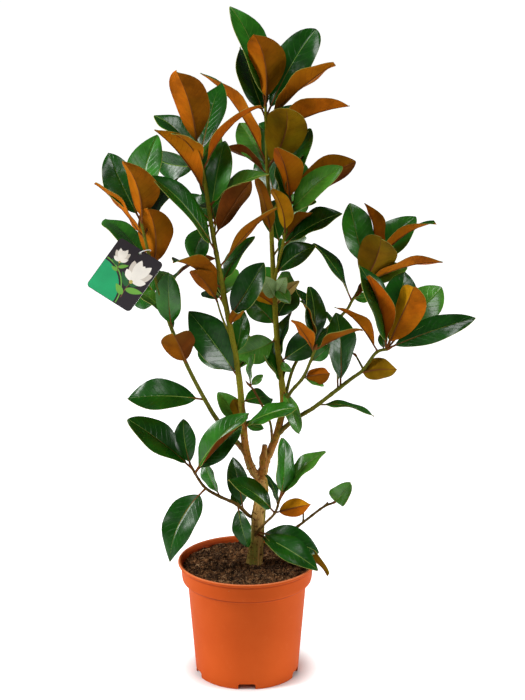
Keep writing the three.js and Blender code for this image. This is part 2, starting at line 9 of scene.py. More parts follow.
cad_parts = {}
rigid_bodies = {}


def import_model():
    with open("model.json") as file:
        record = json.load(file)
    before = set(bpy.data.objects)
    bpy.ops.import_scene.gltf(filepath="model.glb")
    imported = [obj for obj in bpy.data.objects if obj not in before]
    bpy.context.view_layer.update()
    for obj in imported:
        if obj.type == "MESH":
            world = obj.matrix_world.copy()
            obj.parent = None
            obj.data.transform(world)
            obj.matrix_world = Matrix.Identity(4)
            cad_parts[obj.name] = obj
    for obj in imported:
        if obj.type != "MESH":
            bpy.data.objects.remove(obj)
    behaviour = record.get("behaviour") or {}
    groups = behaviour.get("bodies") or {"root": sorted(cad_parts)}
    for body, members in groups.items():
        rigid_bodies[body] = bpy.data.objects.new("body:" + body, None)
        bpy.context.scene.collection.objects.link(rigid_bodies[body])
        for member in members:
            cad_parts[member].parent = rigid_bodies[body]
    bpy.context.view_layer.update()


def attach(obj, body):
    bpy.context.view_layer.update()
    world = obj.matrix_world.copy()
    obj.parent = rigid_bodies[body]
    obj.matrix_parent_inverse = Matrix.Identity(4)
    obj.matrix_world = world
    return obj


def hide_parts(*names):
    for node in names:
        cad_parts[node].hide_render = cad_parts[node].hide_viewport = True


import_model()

# Potted evergreen magnolia. Tables are in millimetres and degrees, meshes in metres.
mm = 0.001
scene = bpy.context.scene


def added(name, data):
    ob = bpy.data.objects.new(name, data)
    scene.collection.objects.link(ob)
    return ob


def meshOf(deg, name):
    mesh = bpy.data.meshes.new(name)
    deg.to_mesh(mesh)
    deg.free()
    return mesh


def handOver(piece, slotName, *nodes):  # a finished piece, with the nodes it stands for
    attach(piece, "root")
    if nodes:
        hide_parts(*nodes)


def mix(low, high, share):
    return low + (high - low) * share


# Camera and lights

shot = {
    "place": (0.027, -3.46, 1.565),
    "pitchDown": 15.83,
    "lens": 109.4,
    "longSide": 36.0,
    "farthest": 60,
}
cameraData = bpy.data.cameras.new("studioCamera")
cameraData.lens = shot["lens"]
cameraData.sensor_fit = "AUTO"
cameraData.sensor_width = shot["longSide"]
cameraData.clip_end = shot["farthest"]
camera = added("studioCamera", cameraData)
camera.location = shot["place"]
camera.rotation_euler = (math.radians(90 - shot["pitchDown"]), 0, 0)
scene.camera = camera
scene.view_settings.view_transform = "Standard"

softboxes = {  # place, aim, width, height, power in watts
    "leftBox": ((-2.3, -0.75, 1.6), (0, 0, 0.6), 0.7, 1.8, 78),
    "rightBox": ((2.2, -0.5, 0.62), (0, 0, 0.25), 0.8, 1.1, 34),
    "frontBox": ((-0.9, -3.3, 2.5), (0, 0, 0.6), 0.7, 0.7, 11),
    "topBox": ((0.1, -0.4, 3.0), (0, 0, 0.6), 0.9, 0.9, 22),
}
for boxName, (place, aim, width, height, power) in softboxes.items():
    lamp = bpy.data.lights.new(boxName, "AREA")
    lamp.shape = "RECTANGLE"
    lamp.size, lamp.size_y, lamp.energy = width, height, power
    lampObject = added(boxName, lamp)
    lampObject.location = place
    way = Vector(aim) - Vector(place)
    lampObject.rotation_euler = way.to_track_quat("-Z", "Y").to_euler()

studioAir = bpy.data.worlds.new("studioAir")
studioAir.use_nodes = True
airNode = studioAir.node_tree.nodes["Background"]
airNode.inputs["Color"].default_value = (1.0, 1.0, 1.0, 1)
airNode.inputs["Strength"].default_value = 0.06
scene.world = studioAir


# Node trees and materials

def socketOf(sockets, identifier):
    return next(s for s in sockets if s.identifier == identifier)


class Net:  # a node tree, with short ways to reckon in it
    families = ("ShaderNode", "GeometryNode", "FunctionNode", "Node")

    def __init__(self, tree):
        self.tree = tree

    def feed(self, target, value):
        if isinstance(value, bpy.types.NodeSocket):
            self.tree.links.new(value, target)
        else:
            target.default_value = value

    def node(self, kind, links=None, **settings):
        kinds = (family + kind for family in self.families)
        made = self.tree.nodes.new(next(k for k in kinds if hasattr(bpy.types, k)))
        for key, value in settings.items():
            setattr(made, key, value)
        for socket, value in (links or {}).items():
            self.feed(made.inputs[socket], value)
        return made

    def out(self, kind, links=None, output=0, **settings):
        return self.node(kind, links, **settings).outputs[output]

    def math(self, operation, *values):
        return self.out("Math", dict(enumerate(values)), operation=operation)

    def times(self, first, second):
        return self.math("MULTIPLY", first, second)

    def lengthOf(self, vector):
        return self.out("VectorMath", {0: vector}, "Value", operation="LENGTH")

    def parts(self, vector):
        return self.node("SeparateXYZ", {"Vector": vector}).outputs

    def joined(self, *values):
        return self.out("CombineXYZ", dict(zip("XYZ", values)))

    def spread(self, value, low, high, toLow=0.0, toHigh=1.0):
        return self.out("MapRange", {"Value": value, "From Min": low, "From Max": high,
                                     "To Min": toLow, "To Max": toHigh})

    def noise(self, vector, scale, detail=2.0, rough=0.5):
        return self.out("TexNoise", {"Vector": vector, "Scale": scale, "Detail": detail,
                                     "Roughness": rough})

    def stretched(self, vector, scale):
        return self.out("Mapping", {"Vector": vector, "Scale": scale})

    def blend(self, factor, first, second):
        made = self.node("Mix", data_type="RGBA")
        for name, value in (("Factor_Float", factor), ("A_Color", first), ("B_Color", second)):
            colour = (*value, 1) if isinstance(value, tuple) else value
            self.feed(socketOf(made.inputs, name), colour)
        return socketOf(made.outputs, "Result_Color")

    def patched(self, ground, colour, value, band):  # the colour where the value is high
        return self.blend(self.spread(value, *band), ground, colour)


class Paint(Net):  # a material in the making, read at the object's own coordinates

    def __init__(self, name, rough, specular=0.5, coat=(0.0, 0.03)):
        self.material = bpy.data.materials.new(name)
        self.material.use_nodes = True
        super().__init__(self.material.node_tree)
        self.inputs = self.tree.nodes["Principled BSDF"].inputs
        for socket, value in (("Roughness", rough), ("Specular IOR Level", specular),
                              ("Coat Weight", coat[0]), ("Coat Roughness", coat[1])):
            self.inputs[socket].default_value = value
        self.place = self.out("TexCoord", output="Object")

    def clouds(self, *grain):
        return self.noise(self.place, *grain)

    def made(self, colour, height=None, distance=0.0, strength=0.0):
        self.feed(self.inputs["Base Color"], colour)
        if height is not None:
            self.feed(self.inputs["Normal"], self.out("Bump", {
                "Height": height, "Distance": distance, "Strength": strength}))
        return self.material


def tint(colour, factor):
    return tuple(min(1.0, c * factor) for c in colour)


# Floor

sweep = {
    "reach": 30,
    "paint": (0.93, 0.93, 0.93, 1),
    "behind": (-0.5, -0.1),
    "far": (0.3, 2.4, 0.84, 0.98),
    "underPot": (0.088, 0.13),
    "aside": (0.24, 0.14),
    "eye": 3.9,  # the camera's way to the pot, which the sides are measured from
}
paint = Paint("paleFloor", 0.95)
paint.inputs["Emission Color"].default_value = (1, 1, 1, 1)
away, parts = paint.lengthOf(paint.place), paint.parts(paint.place)
aside = paint.math("DIVIDE", paint.math("ABSOLUTE", parts["X"]),
                   paint.math("ADD", parts["Y"], sweep["eye"]))
# the sweep is lit up behind the plant only, and not under the pot
glow = paint.spread(parts["Y"], *sweep["behind"])
for value, band in ((away, "far"), (away, "underPot"), (aside, "aside")):
    glow = paint.times(glow, paint.spread(value, *sweep[band]))
paint.feed(paint.inputs["Emission Strength"], glow)
floorMesh = bpy.data.meshes.new("studioFloor")
floorMesh.from_pydata([(x * sweep["reach"], y * sweep["reach"], 0)
                       for x, y in ((-1, -1), (1, -1), (1, 1), (-1, 1))], [], [(0, 1, 2, 3)])
floorMesh.materials.append(paint.made(sweep["paint"]))
studioFloor = added("studioFloor", floorMesh)
print("stage ready")


# Limbs: a line of bends from a place along the parent. Bare wood up to split, the stem of
# a leafy mass beyond it.

soilTop = 198
limbs = {
    "trunk": dict(
        start=(12, 0, soilTop - 10),
        bends=[(17, 0, 241), (20, 0, 285), (26, 0, 335), (24, 0, 355)],
        radii=(12.5, 10.5), flare=3, split=1),
    "leftLeader": dict(
        parent="trunk", at=0.97,
        bends=[(10, -2, 370), (-1, -5, 406), (-7, -12, 470), (-14, -22, 552),
               (-36, -36, 684), (-55, -45, 798), (-68, -50, 889), (-79, -50, 936)],
        radii=(7.8, 2.5), split=0.315),
    "rightLeader": dict(
        parent="trunk", at=0.97,
        bends=[(33, 3, 387), (42, 5, 406), (54, 10, 440), (62, 15, 493), (52, 30, 590),
               (45, 45, 712), (41, 52, 795), (35, 58, 883), (32, 60, 989)],
        radii=(8, 2.4), split=0.465),
    "prunedStub": dict(
        parent="rightLeader", at=0.06,
        bends=[(29, -2, 392), (31, -4, 416)],
        radii=(6, 4.4), split=1),
    "sideShoot": dict(
        parent="rightLeader", at=0.645,
        bends=[(62, 34, 762), (73, 25, 832)],
        radii=(3, 2), split=0),
    "leftBough": dict(
        parent="leftLeader", at=0.235,
        bends=[(-20, -9, 427), (-48, -20, 464), (-68, -32, 502), (-100, -50, 574),
               (-132, -70, 666), (-156, -85, 761), (-170, -90, 827)],
        radii=(4.8, 2.2), split=0.42),
    "rightLowBough": dict(
        parent="rightLeader", at=0.31,
        bends=[(80, 5, 458), (102, 0, 474), (118, -4, 486), (174, -20, 537),
               (196, -25, 556), (217, -32, 588), (235, -36, 596)],
        radii=(4.2, 2.5), split=0.42),
    "rightMidBough": dict(
        parent="rightLeader", at=0.41,
        bends=[(74, 6, 506), (95, -18, 540), (107, -32, 572), (115, -42, 598)],
        radii=(3.4, 2.2), split=0.47),
    "rightHighBough": dict(
        parent="rightLeader", at=0.42,
        bends=[(83, 40, 548), (126, 65, 592), (169, 85, 628), (183, 92, 649),
               (214, 105, 696)],
        radii=(3, 2.2), split=0.6),
    "innerTwig": dict(
        parent="rightLeader", at=0.24,
        bends=[(41, 0, 451), (30, -8, 480), (13, -15, 516), (4, -18, 528)],
        radii=(2.3, 1.7), split=0.5),
    "lowLeftShoot": dict(
        parent="trunk", at=0.5,
        bends=[(5, -4, 287), (-17, -12, 311), (-51, -20, 331), (-74, -26, 350),
               (-94, -32, 386)],
        radii=(3.6, 2.2), split=0),
    "frontShoot": dict(
        parent="trunk", at=0.28,
        bends=[(15, -12, 256), (30, -30, 282), (48, -48, 309), (57, -58, 340)],
        radii=(2.6, 2), split=0),
    "lowRightShoot": dict(
        parent="trunk", at=0.18,
        bends=[(30, 3, 232), (81, 12, 257), (130, 25, 291), (150, 30, 299)],
        radii=(2.8, 2), split=0),
    "leftSprig": dict(
        parent="leftLeader", at=0.555,
        bends=[(-40, -36, 650), (-49, -40, 682)],
        radii=(2, 1.5), split=0),
    "snagTall": dict(
        parent="lowRightShoot", at=0.78,
        bends=[(141, 27, 301)],
        radii=(1.7, 1.6), split=0),
    "snagShort": dict(
        parent="lowRightShoot", at=0.58,
        bends=[(98, 19, 291)],
        radii=(1.6, 1.4), split=0),
}

# Leaves of each shoot: at, lean, toward, long, wide, turn, tone, and a sway where one is
# plainly bowed. Tone names the side that faces the front; the seed picks the other.
leaves = {
    "leftLeader": [
        (1.0, -12, 25, 155, 62, 158, "orange"),
        (0.96, 16, -30, 138, 60, -36, "deep", 0.03),
        (0.96, -48, -25, 108, 48, 50, "deep"),
        (0.91, -33, 30, 95, 42, 110, "orange"),
        (0.83, -36, 10, 142, 60, 115, "orange"),
        (0.9, 39, 5, 145, 46, -108, "rust"),
        (0.78, 10, -10, 128, 56, -22, "mid", 0.02),
        (0.8, -95, -62, 50, 24, 60, "mid"),
        (0.805, 60, 0, 112, 48, -65, "fresh"),
        (0.74, 30, 15, 124, 54, -125, "maroon"),
        (0.71, -34, 25, 197, 58, 64, "deep", 0.0),
        (0.77, -156, -5, 75, 44, 25, "mid"),
        (0.64, -49, 30, 120, 54, 115, "umber"),
        (0.65, 34, -10, 96, 42, -55, "mid"),
        (0.68, 42, 5, 142, 36, -100, "umber"),
        (0.59, 30, 5, 114, 52, -15, "deep"),
        (0.58, 27, 50, 62, 28, -120, "umber"),
        (0.53, 11, -15, 76, 36, -30, "mid"),
        (0.485, -34, 6, 146, 66, 15, "deep", 0.0),
        (0.36, 108, 10, 38, 18, -5, "mid"),
        (0.335, -37, -20, 77, 38, 20, "fresh"),
        (0.335, -17, 5, 58, 26, 165, "olive"),
        (0.34, 60, 25, 112, 42, -55, "mid"),
        (0.42, 98, -46, 78, 36, -35, "mid"),
    ],
    "leftSprig": [
        (0.95, -33, 20, 80, 36, 145, "orange"),
    ],
    "rightLeader": [
        (1.0, -18, -10, 175, 62, 42, "mid", 0.03),
        (1.0, -8, 25, 145, 62, 162, "orange", -0.05),
        (0.98, -20, -25, 132, 62, 34, "deep", -0.05),
        (0.98, 30, -15, 172, 64, -14, "deep", -0.02),
        (0.98, 49, 10, 150, 58, -115, "orange"),
        (0.97, 62, -30, 75, 30, -65, "mid"),
        (0.94, 65, 10, 154, 56, -110, "orange"),
        (0.89, 15, 30, 138, 70, 180, "olive", -0.08),
        (0.9, -33, 0, 188, 50, 100, "orange"),
        (0.89, -33, -20, 92, 54, 0, "fresh"),
        (0.88, -58, -10, 83, 36, 115, "maroon"),
        (0.74, -13, 10, 112, 36, 130, "umber"),
        (0.62, -24, 35, 64, 28, 18, "pale"),
        (0.62, 24, 25, 52, 26, -18, "pale"),
        (0.64, 126, 50, 52, 24, -12, "fresh"),
        (0.61, -52, 20, 46, 22, 150, "gold"),
        (0.61, 40, 5, 62, 26, -140, "straw"),
        (0.58, -50, -25, 76, 46, 8, "mid"),
        (0.59, 36, -25, 64, 44, -8, "deep"),
        (0.56, -106, 20, 83, 50, -10, "fresh"),
        (0.475, -34, -10, 82, 36, 65, "mid"),
        (0.475, -27, -20, 84, 38, 55, "fresh"),
        (0.51, 4, -30, 68, 30, -55, "deep"),
        (0.52, 118, 40, 30, 14, 0, "fresh"),
        (0.475, 3, -30, 44, 20, -40, "deep"),
        (0.52, 14, -20, 88, 38, -60, "deep"),
        (0.52, 55, 0, 100, 50, -18, "deep"),
        (0.47, 157, 20, 84, 30, -28, "fresh"),
    ],
    "sideShoot": [
        (1.0, -12, 25, 117, 52, 145, "flame"),
        (1.0, 15, -10, 83, 36, -115, "maroon"),
        (1.0, 15, -25, 135, 56, -38, "mid"),
        (0.98, 55, 0, 132, 56, -150, "umber"),
        (0.86, 43, 14, 126, 54, -42, "fresh"),
        (0.84, 55, 20, 58, 26, -60, "fresh"),
        (0.56, 42, 15, 70, 30, -130, "umber"),
        (0.46, 57, 10, 117, 52, -45, "deep"),
        (0.61, -14, 20, 92, 42, 130, "gold", -0.05),
        (0.94, -17, -15, 73, 32, 50, "mid"),
        (0.1, 50, 10, 86, 42, -25, "deep"),
        (0.16, 10, -20, 55, 24, 60, "mid"),
    ],
    "leftBough": [
        (1.0, -28, -25, 128, 60, 20, "deep", -0.03),
        (0.99, -11, 25, 130, 58, 145, "orange", -0.07),
        (0.98, 9, -20, 152, 62, -30, "mid", -0.05),
        (0.83, -3, 11, 110, 56, 180, "orange", -0.08),
        (0.93, -39, 0, 122, 42, 108, "orange"),
        (0.84, -55, -50, 155, 58, 45, "mid"),
        (0.94, 32, -30, 116, 50, -50, "deep"),
        (0.76, 61, -45, 136, 34, -85, "deep", 0.0),
        (0.672, -2, 10, 103, 46, -15, "mid"),
        (0.66, -27, -20, 62, 28, 60, "deep"),
        (0.71, -55, -15, 67, 30, 55, "fresh"),
        (0.57, -15, 42, 99, 56, 180, "umber"),
        (0.44, -89, 0, 131, 58, 20, "deep"),
    ],
    "rightLowBough": [
        (0.53, -2, -5, 127, 56, 35, "deep"),
        (0.52, -7, -25, 135, 58, 65, "deep"),
        (0.44, 96, 10, 97, 34, -76, "mid"),
        (0.66, 76, 25, 72, 42, 175, "olive"),
        (0.99, -17, 5, 155, 58, 50, "deep", 0.0),
        (1.0, -14, 15, 145, 54, 125, "rust"),
        (1.0, 18, 25, 142, 60, 145, "gold"),
        (1.0, 15, -25, 137, 64, 6, "deep"),
        (1.0, 43, -15, 140, 58, -14, "fresh"),
        (0.98, 69, 3, 160, 44, -20, "deep", 0.0),
        (0.96, -2, -30, 32, 16, 0, "mid"),
        (0.88, -40, 5, 109, 36, 106, "orange"),
    ],
    "rightMidBough": [
        (0.98, -3, -10, 106, 48, 45, "deep"),
        (0.96, -16, -25, 111, 44, 55, "deep"),
        (0.94, -12, 0, 92, 34, 100, "umber"),
        (0.94, -29, 20, 78, 36, 120, "orange"),
        (0.98, 60, 15, 92, 40, -110, "umber"),
        (0.75, 46, 10, 46, 24, 0, "mid"),
        (0.52, 72, 30, 54, 34, 180, "orange"),
        (0.51, 109, 10, 38, 18, -40, "fresh"),
    ],
    "rightHighBough": [
        (0.99, -16, -10, 124, 58, 20, "mid", -0.08),
        (1.0, -3, 0, 120, 46, 115, "orange"),
        (0.93, 14, 38, 127, 66, 180, "olive", -0.04),
        (1.0, 42, -20, 125, 60, -20, "mid"),
        (1.0, 47, 10, 143, 32, -100, "orange"),
        (0.92, 69, 15, 146, 44, -108, "orange"),
        (0.9, 68, -5, 86, 40, -40, "fresh"),
        (0.8, 91, -20, 32, 18, 0, "mid"),
        (0.8, 28, 0, 36, 16, 135, "maroon"),
        (0.78, -33, 0, 122, 46, 62, "deep"),
    ],
    "innerTwig": [
        (0.94, 7, 5, 58, 26, -60, "fresh"),
        (0.94, 46, 10, 31, 14, -15, "fresh"),
    ],
    "lowLeftShoot": [
        (0.94, 37, 10, 147, 50, -35, "mid", 0.0),
        (0.98, -49, 5, 143, 60, 40, "deep"),
        (1.0, -10, -15, 83, 38, 0, "deep"),
        (0.57, -27, -15, 66, 30, -45, "mid"),
        (0.76, -152, 15, 141, 58, 15, "deep", 0.09),
        (0.39, 165, 20, 75, 34, 15, "deep"),
        (0.32, -12, -15, 92, 42, -25, "deep"),
        (0.34, -35, -30, 33, 18, 0, "deep"),
        (0.94, 44, -2, 116, 42, -12, "deep"),
    ],
    "frontShoot": [
        (0.75, -48, 15, 108, 46, 45, "deep"),
        (0.75, 68, 20, 72, 32, 180, "gold"),
        (1.0, 3, -5, 104, 46, 40, "mid"),
        (1.0, 15, -25, 80, 36, 55, "deep"),
        (0.98, 43, -10, 112, 38, -50, "fresh"),
        (0.88, -23, -40, 60, 28, 70, "deep"),
        (0.28, 113, 25, 127, 46, -32, "deep", 0.0),
        (0.33, 107, 5, 112, 50, -30, "deep"),
    ],
    "lowRightShoot": [
        (1.0, 33, 20, 55, 42, 0, "fresh"),
        (0.39, 120, 20, 108, 36, -110, "olive"),
    ],
}

masses = {
    "left_leader_foliage": dict(stems=("leftLeader", "leftSprig"), sprigs=4, grow=28,
                                seed=3),
    "right_leader_foliage": dict(stems=("rightLeader", "sideShoot"), sprigs=4, grow=63,
                                 seed=8),
    "left_bough_foliage": dict(stems=("leftBough",), sprigs=1, grow=30, seed=5),
    "right_low_bough_foliage": dict(stems=("rightLowBough",), sprigs=1, grow=79, seed=2),
    "right_mid_bough_foliage": dict(stems=("rightMidBough",), sprigs=0, seed=4),
    "right_high_bough_foliage": dict(stems=("rightHighBough",), sprigs=0, seed=6),
    "inner_twig_foliage": dict(stems=("innerTwig",), sprigs=0, seed=7),
    "low_left_foliage": dict(stems=("lowLeftShoot",), sprigs=0, seed=9),
    "front_foliage": dict(stems=("frontShoot",), sprigs=0, seed=10),
    "low_right_foliage": dict(stems=("lowRightShoot", "snagTall", "snagShort"),
                              sprigs=0, seed=11),
}


def chance(seed, count):  # the same seeded number as the solids are grown by
    wave = math.sin(seed * 78.233 + count * 12.9898) * 43758.5453
    return wave - math.floor(wave)


limbPoints = {}


def pointAt(name, share):
    points = limbPoints[name]
    last = len(points) - 1
    cell = min(int(share * last), last - 1)
    t = share * last - cell
    b, c = points[cell], points[cell + 1]
    a = points[cell - 1] if cell > 0 else 2 * b - c
    d = points[cell + 2] if cell + 2 <= last else 2 * c - b
    return 0.5 * (2 * b + (c - a) * t + (2 * a - 5 * b + 4 * c - d) * t * t
                  + (3 * b - a - 3 * c + d) * t ** 3)


for limbName, limb in limbs.items():
    start = limb.get("start")
    first = Vector(start) if start else pointAt(limb["parent"], limb["at"])
    limbPoints[limbName] = [first] + [Vector(bend) for bend in limb["bends"]]


# Wood: every limb is swept along its line by one node tree, with the bark's relief in it.

wood = {
    "step": 2.5,  # between two rings
    "collar": 0.3,  # swelling where a limb leaves its parent
    "wrinkle": 0.35,
    "nodeSwell": 0.24,
    "nodeHalf": 2.0,
    "scarSwell": 0.5,
    "scarHalf": 0.9,
    "scarFirst": 9.0,
    "scarEvery": 17.0,
    "mostSwell": 0.5,  # share of the radius
}
sweeps = {  # sides, relief, grain pitch and seed, which the stems take from their mass
    "trunkWood": (28, 0.3, 0.03, 2.0),
    "boughWood": (16, 0.24, 0.02, 5.0),
    "cutFace": (20, 0.05, 0.02, 1.0),
    "stems": (12, 0.12, 0.02),
}
knots = {  # healed cuts: share along the limb, swelling and half width in mm
    "trunk": ((0.5, 0.9, 5.0), (0.74, 0.8, 4.0)),
    "leftLeader": ((0.045, 1.1, 3.5), (0.1, 0.9, 3.0), (0.152, 1.4, 4.0)),
    "rightLeader": ((0.05, 1.0, 4.0), (0.105, 1.2, 3.5), (0.16, 1.3, 3.5)),
    "prunedStub": ((0.3, 1.4, 6.0), (0.52, 2.6, 5.0)),
    "leftBough": ((0.03, 0.8, 2.5), (0.07, 0.7, 2.0)),
}


def radiusAt(name, share):
    limb = limbs[name]
    flare = limb.get("flare", 0) * math.exp(-7 * share)
    return mix(*limb["radii"], share) + flare


def swellAt(name, share, length):
    limb = limbs[name]
    radius = radiusAt(name, share)
    along = share * length

    def ridge(rise, place, half):
        return rise * math.exp(-((along - place) / half) ** 2)

    swell = 0.0
    if "parent" in limb:
        clear = max(0.0, along - radiusAt(limb["parent"], limb["at"]))
        swell += wood["collar"] * radius * math.exp(-clear / (1.4 * radius))
        swell += wood["wrinkle"] * math.sin(1.9 * clear) * math.exp(-clear / (3 * radius))
    for row in leaves.get(name, []):
        swell += ridge(wood["nodeSwell"], row[0] * length, wood["nodeHalf"])
    for at, rise, half in knots.get(name, ()):
        swell += ridge(rise, at * length, half)
    scar, number = wood["scarFirst"], 0
    while scar < length * 0.9:
        swell += ridge(wood["scarSwell"], scar, wood["scarHalf"])
        number += 1
        scar += wood["scarEvery"] * mix(0.55, 1.45, chance(len(name), number))
    return min(swell, wood["mostSwell"] * radius)


def newCurve(name):
    curve = bpy.data.curves.new(name, "CURVE")
    curve.dimensions = "3D"
    return added(name, curve)


def addSpline(curve, places, radii):
    spline = curve.data.splines.new("POLY")
    spline.points.add(len(places) - 1)
    for point, place, radius in zip(spline.points, places, radii):
        point.co = (*(place * mm), 1)
        point.radius = radius * mm
    return spline


def addLimb(curve, name, low, high):
    places = [pointAt(name, i / 40) for i in range(41)]
    length = sum((b - a).length for a, b in zip(places, places[1:]))
    steps = max(2, round(length * (high - low) / wood["step"]))
    shares = [mix(low, high, i / steps) for i in range(steps + 1)]
    addSpline(curve, [pointAt(name, share) for share in shares],
              [radiusAt(name, share) + swellAt(name, share, length) for share in shares])


def startGroup(name, inputs):
    tree = bpy.data.node_groups.new(name, "GeometryNodeTree")
    for label, (kind, value) in {"Geometry": ("Geometry", None), **inputs}.items():
        socket = tree.interface.new_socket(label, in_out="INPUT",
                                           socket_type="NodeSocket" + kind)
        if value is not None:
            socket.default_value = value
    tree.interface.new_socket("Geometry", in_out="OUTPUT", socket_type="NodeSocketGeometry")
    net = Net(tree)
    return net, net.node("GroupInput").outputs


def endGroup(net, geometry, material):
    whole = net.out("RealizeInstances", {"Geometry": geometry})
    painted = net.out("SetMaterial", {"Geometry": whole, "Material": material})
    net.node("GroupOutput", {"Geometry": painted})
    return net.tree


def capture(net, geometry, **fields):  # values kept at the points of a curve
    kept = net.node("CaptureAttribute", {"Geometry": geometry}, domain="POINT")
    for name, value in fields.items():
        kept.capture_items.new("FLOAT", name)
        net.feed(kept.inputs[name], value)
    return kept.outputs


def sweptWoodTree():
    net, source = startGroup("sweptWood", {
        "Sides": ("Int", 14), "Relief": ("Float", 0.06), "Grain Pitch": ("Float", 0.035),
        "Seed": ("Float", 4.0), "Bark": ("Material", None)})
    line = capture(net, source["Geometry"], radius=net.out("InputRadius"),
                   length=net.out("SplineParameter", output="Length"))
    circle = net.out("CurvePrimitiveCircle", {"Resolution": source["Sides"], "Radius": 1.0},
                     mode="RADIUS")
    ring = capture(net, circle, around=net.out("SplineParameter", output="Factor"))
    tube = net.out("CurveToMesh", {"Curve": line["Geometry"], "Scale": line["radius"],
                                   "Profile Curve": ring["Geometry"], "Fill Caps": True})
    angle = net.times(ring["around"], 2 * math.pi)
    grain = net.joined(net.math("COSINE", angle), net.math("SINE", angle),
                       net.math("DIVIDE", line["length"], source["Grain Pitch"]))
    tube = net.out("StoreNamedAttribute", {"Geometry": tube, "Name": "grain", "Value": grain},
                   data_type="FLOAT_VECTOR", domain="POINT")
    coarse = net.out("TexNoise",
                     {"Vector": grain, "W": source["Seed"], "Scale": 1.3, "Detail": 3.0},
                     noise_dimensions="4D")
    lift = net.times(net.math("SUBTRACT", coarse, 0.5),
                     net.times(line["radius"], source["Relief"]))
    push = net.out("VectorMath", {0: net.out("InputNormal"), "Scale": lift},
                   operation="SCALE")
    tube = net.out("SetPosition", {"Geometry": tube, "Offset": push})
    return endGroup(net, net.out("SetShadeSmooth", {"Geometry": tube}), source["Bark"])


def plainMesh(ob, name):  # the evaluated object as a mesh of its own
    bpy.context.view_layer.update()
    view = bpy.context.evaluated_depsgraph_get()
    mesh = bpy.data.meshes.new_from_object(ob.evaluated_get(view), depsgraph=view)
    mesh.name = name
    bpy.data.objects.remove(ob)
    return added(name, mesh)


def runNodes(ob, tree, values, name):
    modifier = ob.modifiers.new(tree.name, "NODES")
    modifier.node_group = tree
    for item in tree.interface.items_tree:
        if item.in_out == "INPUT" and item.name in values:
            modifier[item.identifier] = values[item.name]
    return plainMesh(ob, name)


sweptWood = sweptWoodTree()


def swept(curve, name, bark, sides, relief, pitch, seed):
    return runNodes(curve, sweptWood, {"Sides": sides, "Relief": relief, "Seed": seed,
                                       "Grain Pitch": pitch, "Bark": bark}, name)


barkTones = {  # foot, moss on it, old and young bark, and the heights these two meet at
    "magnoliaBark": dict(foot=(0.52, 0.33, 0.1), moss=(0.19, 0.18, 0.03), lenticels=0.5,
                         old=(0.42, 0.143, 0.03), young=(0.22, 0.215, 0.015), meet=(0.4, 0.5)),
    "boughBark": dict(foot=(0.3, 0.14, 0.045), moss=(0.3, 0.14, 0.045), lenticels=0.4,
                      old=(0.24, 0.12, 0.03), young=(0.13, 0.14, 0.014), meet=(0.4, 0.47)),
    "twigBark": dict(foot=(0.15, 0.09, 0.02), moss=(0.15, 0.09, 0.02), lenticels=0.3,
                     old=(0.17, 0.075, 0.018), young=(0.2, 0.1, 0.016), meet=(0.5, 0.75)),
}


def barkMaterial(name, tones):
    paint = Paint(name, 0.82, 0.06)
    grain = paint.out("Attribute", output="Vector", attribute_name="grain")

    def grained(stretch, *values):
        return paint.noise(paint.stretched(grain, stretch), *values)

    lift = paint.spread(paint.noise(grain, 0.9, 4.0, 0.6), 0.3, 0.7, -0.08, 0.08)
    level = paint.math("ADD", paint.parts(paint.place)["Z"], lift)
    mossy = grained((1.5, 1.5, 0.3), 1.0, 3.0, 0.6)
    bark = paint.patched(tones["foot"], tones["moss"], mossy, (0.47, 0.6))
    bark = paint.patched(bark, tones["old"], level, (0.33, 0.42))
    young = paint.spread(level, *tones["meet"])
    bark = paint.blend(young, bark, tones["young"])
    rough = paint.spread(young, 0.0, 1.0, 1.0, 0.5)  # young bark is smoother and cleaner
    streaks = grained((3.5, 3.5, 0.9), 2.2, 5.0, 0.65)
    nicks = grained((1.3, 1.3, 4.5), 1.5)
    pores = paint.out("TexVoronoi", {"Vector": paint.stretched(grain, (2.2, 2.2, 6.5)),
                                     "Scale": 1.0, "Randomness": 1.0})
    pore = paint.spread(pores, 0.2, 0.12)
    for share, mark, shade in ((rough, paint.spread(streaks, 0.46, 0.68, 0.0, 0.8), 0.3),
                               (rough, paint.spread(nicks, 0.58, 0.66, 0.0, 0.85), 0.16),
                               (tones["lenticels"], pore, 1.5)):
        bark = paint.blend(paint.times(mark, share), bark, tint(tones["old"], shade))
    relief = paint.math("MULTIPLY_ADD", pore, 0.5, paint.math("SUBTRACT", streaks, nicks))
    return paint.made(bark, relief, 0.0012, 0.8)


barkOld, barkBough, barkTwig = (barkMaterial(*entry) for entry in barkTones.items())
paint = Paint("cutWood", 0.8)
cutRings = paint.out("TexWave", {"Vector": paint.place, "Scale": 160.0, "Distortion": 3.0},
                     "Fac", wave_type="RINGS")
cutWood = paint.made(paint.blend(cutRings, (0.22, 0.13, 0.06), (0.36, 0.25, 0.13)))


def stemBark(massName):  # leaders carry on in bark, young shoots in felted brown
    if "leader" in massName:
        return barkOld
    return barkBough if "bough" in massName else barkTwig


def joinPieces(pieces, name):
    deg = bmesh.new()
    slots = []
    for piece in pieces:
        first = len(deg.faces)
        deg.from_mesh(piece.data)
        deg.faces.ensure_lookup_table()
        for face in deg.faces[first:]:
            face.material_index = len(slots)
        slots.append(piece.data.materials[0])
    mesh = meshOf(deg, name)
    for material in slots:
        mesh.materials.append(material)
    for piece in pieces:
        bpy.data.objects.remove(piece)
    return added(name, mesh)


def limbWood(name, bark, *limbNames):
    curve = newCurve(name + "Lines")
    for limbName in limbNames:
        addLimb(curve, limbName, 0, limbs[limbName]["split"])
    return swept(curve, name, bark, *sweeps[name])


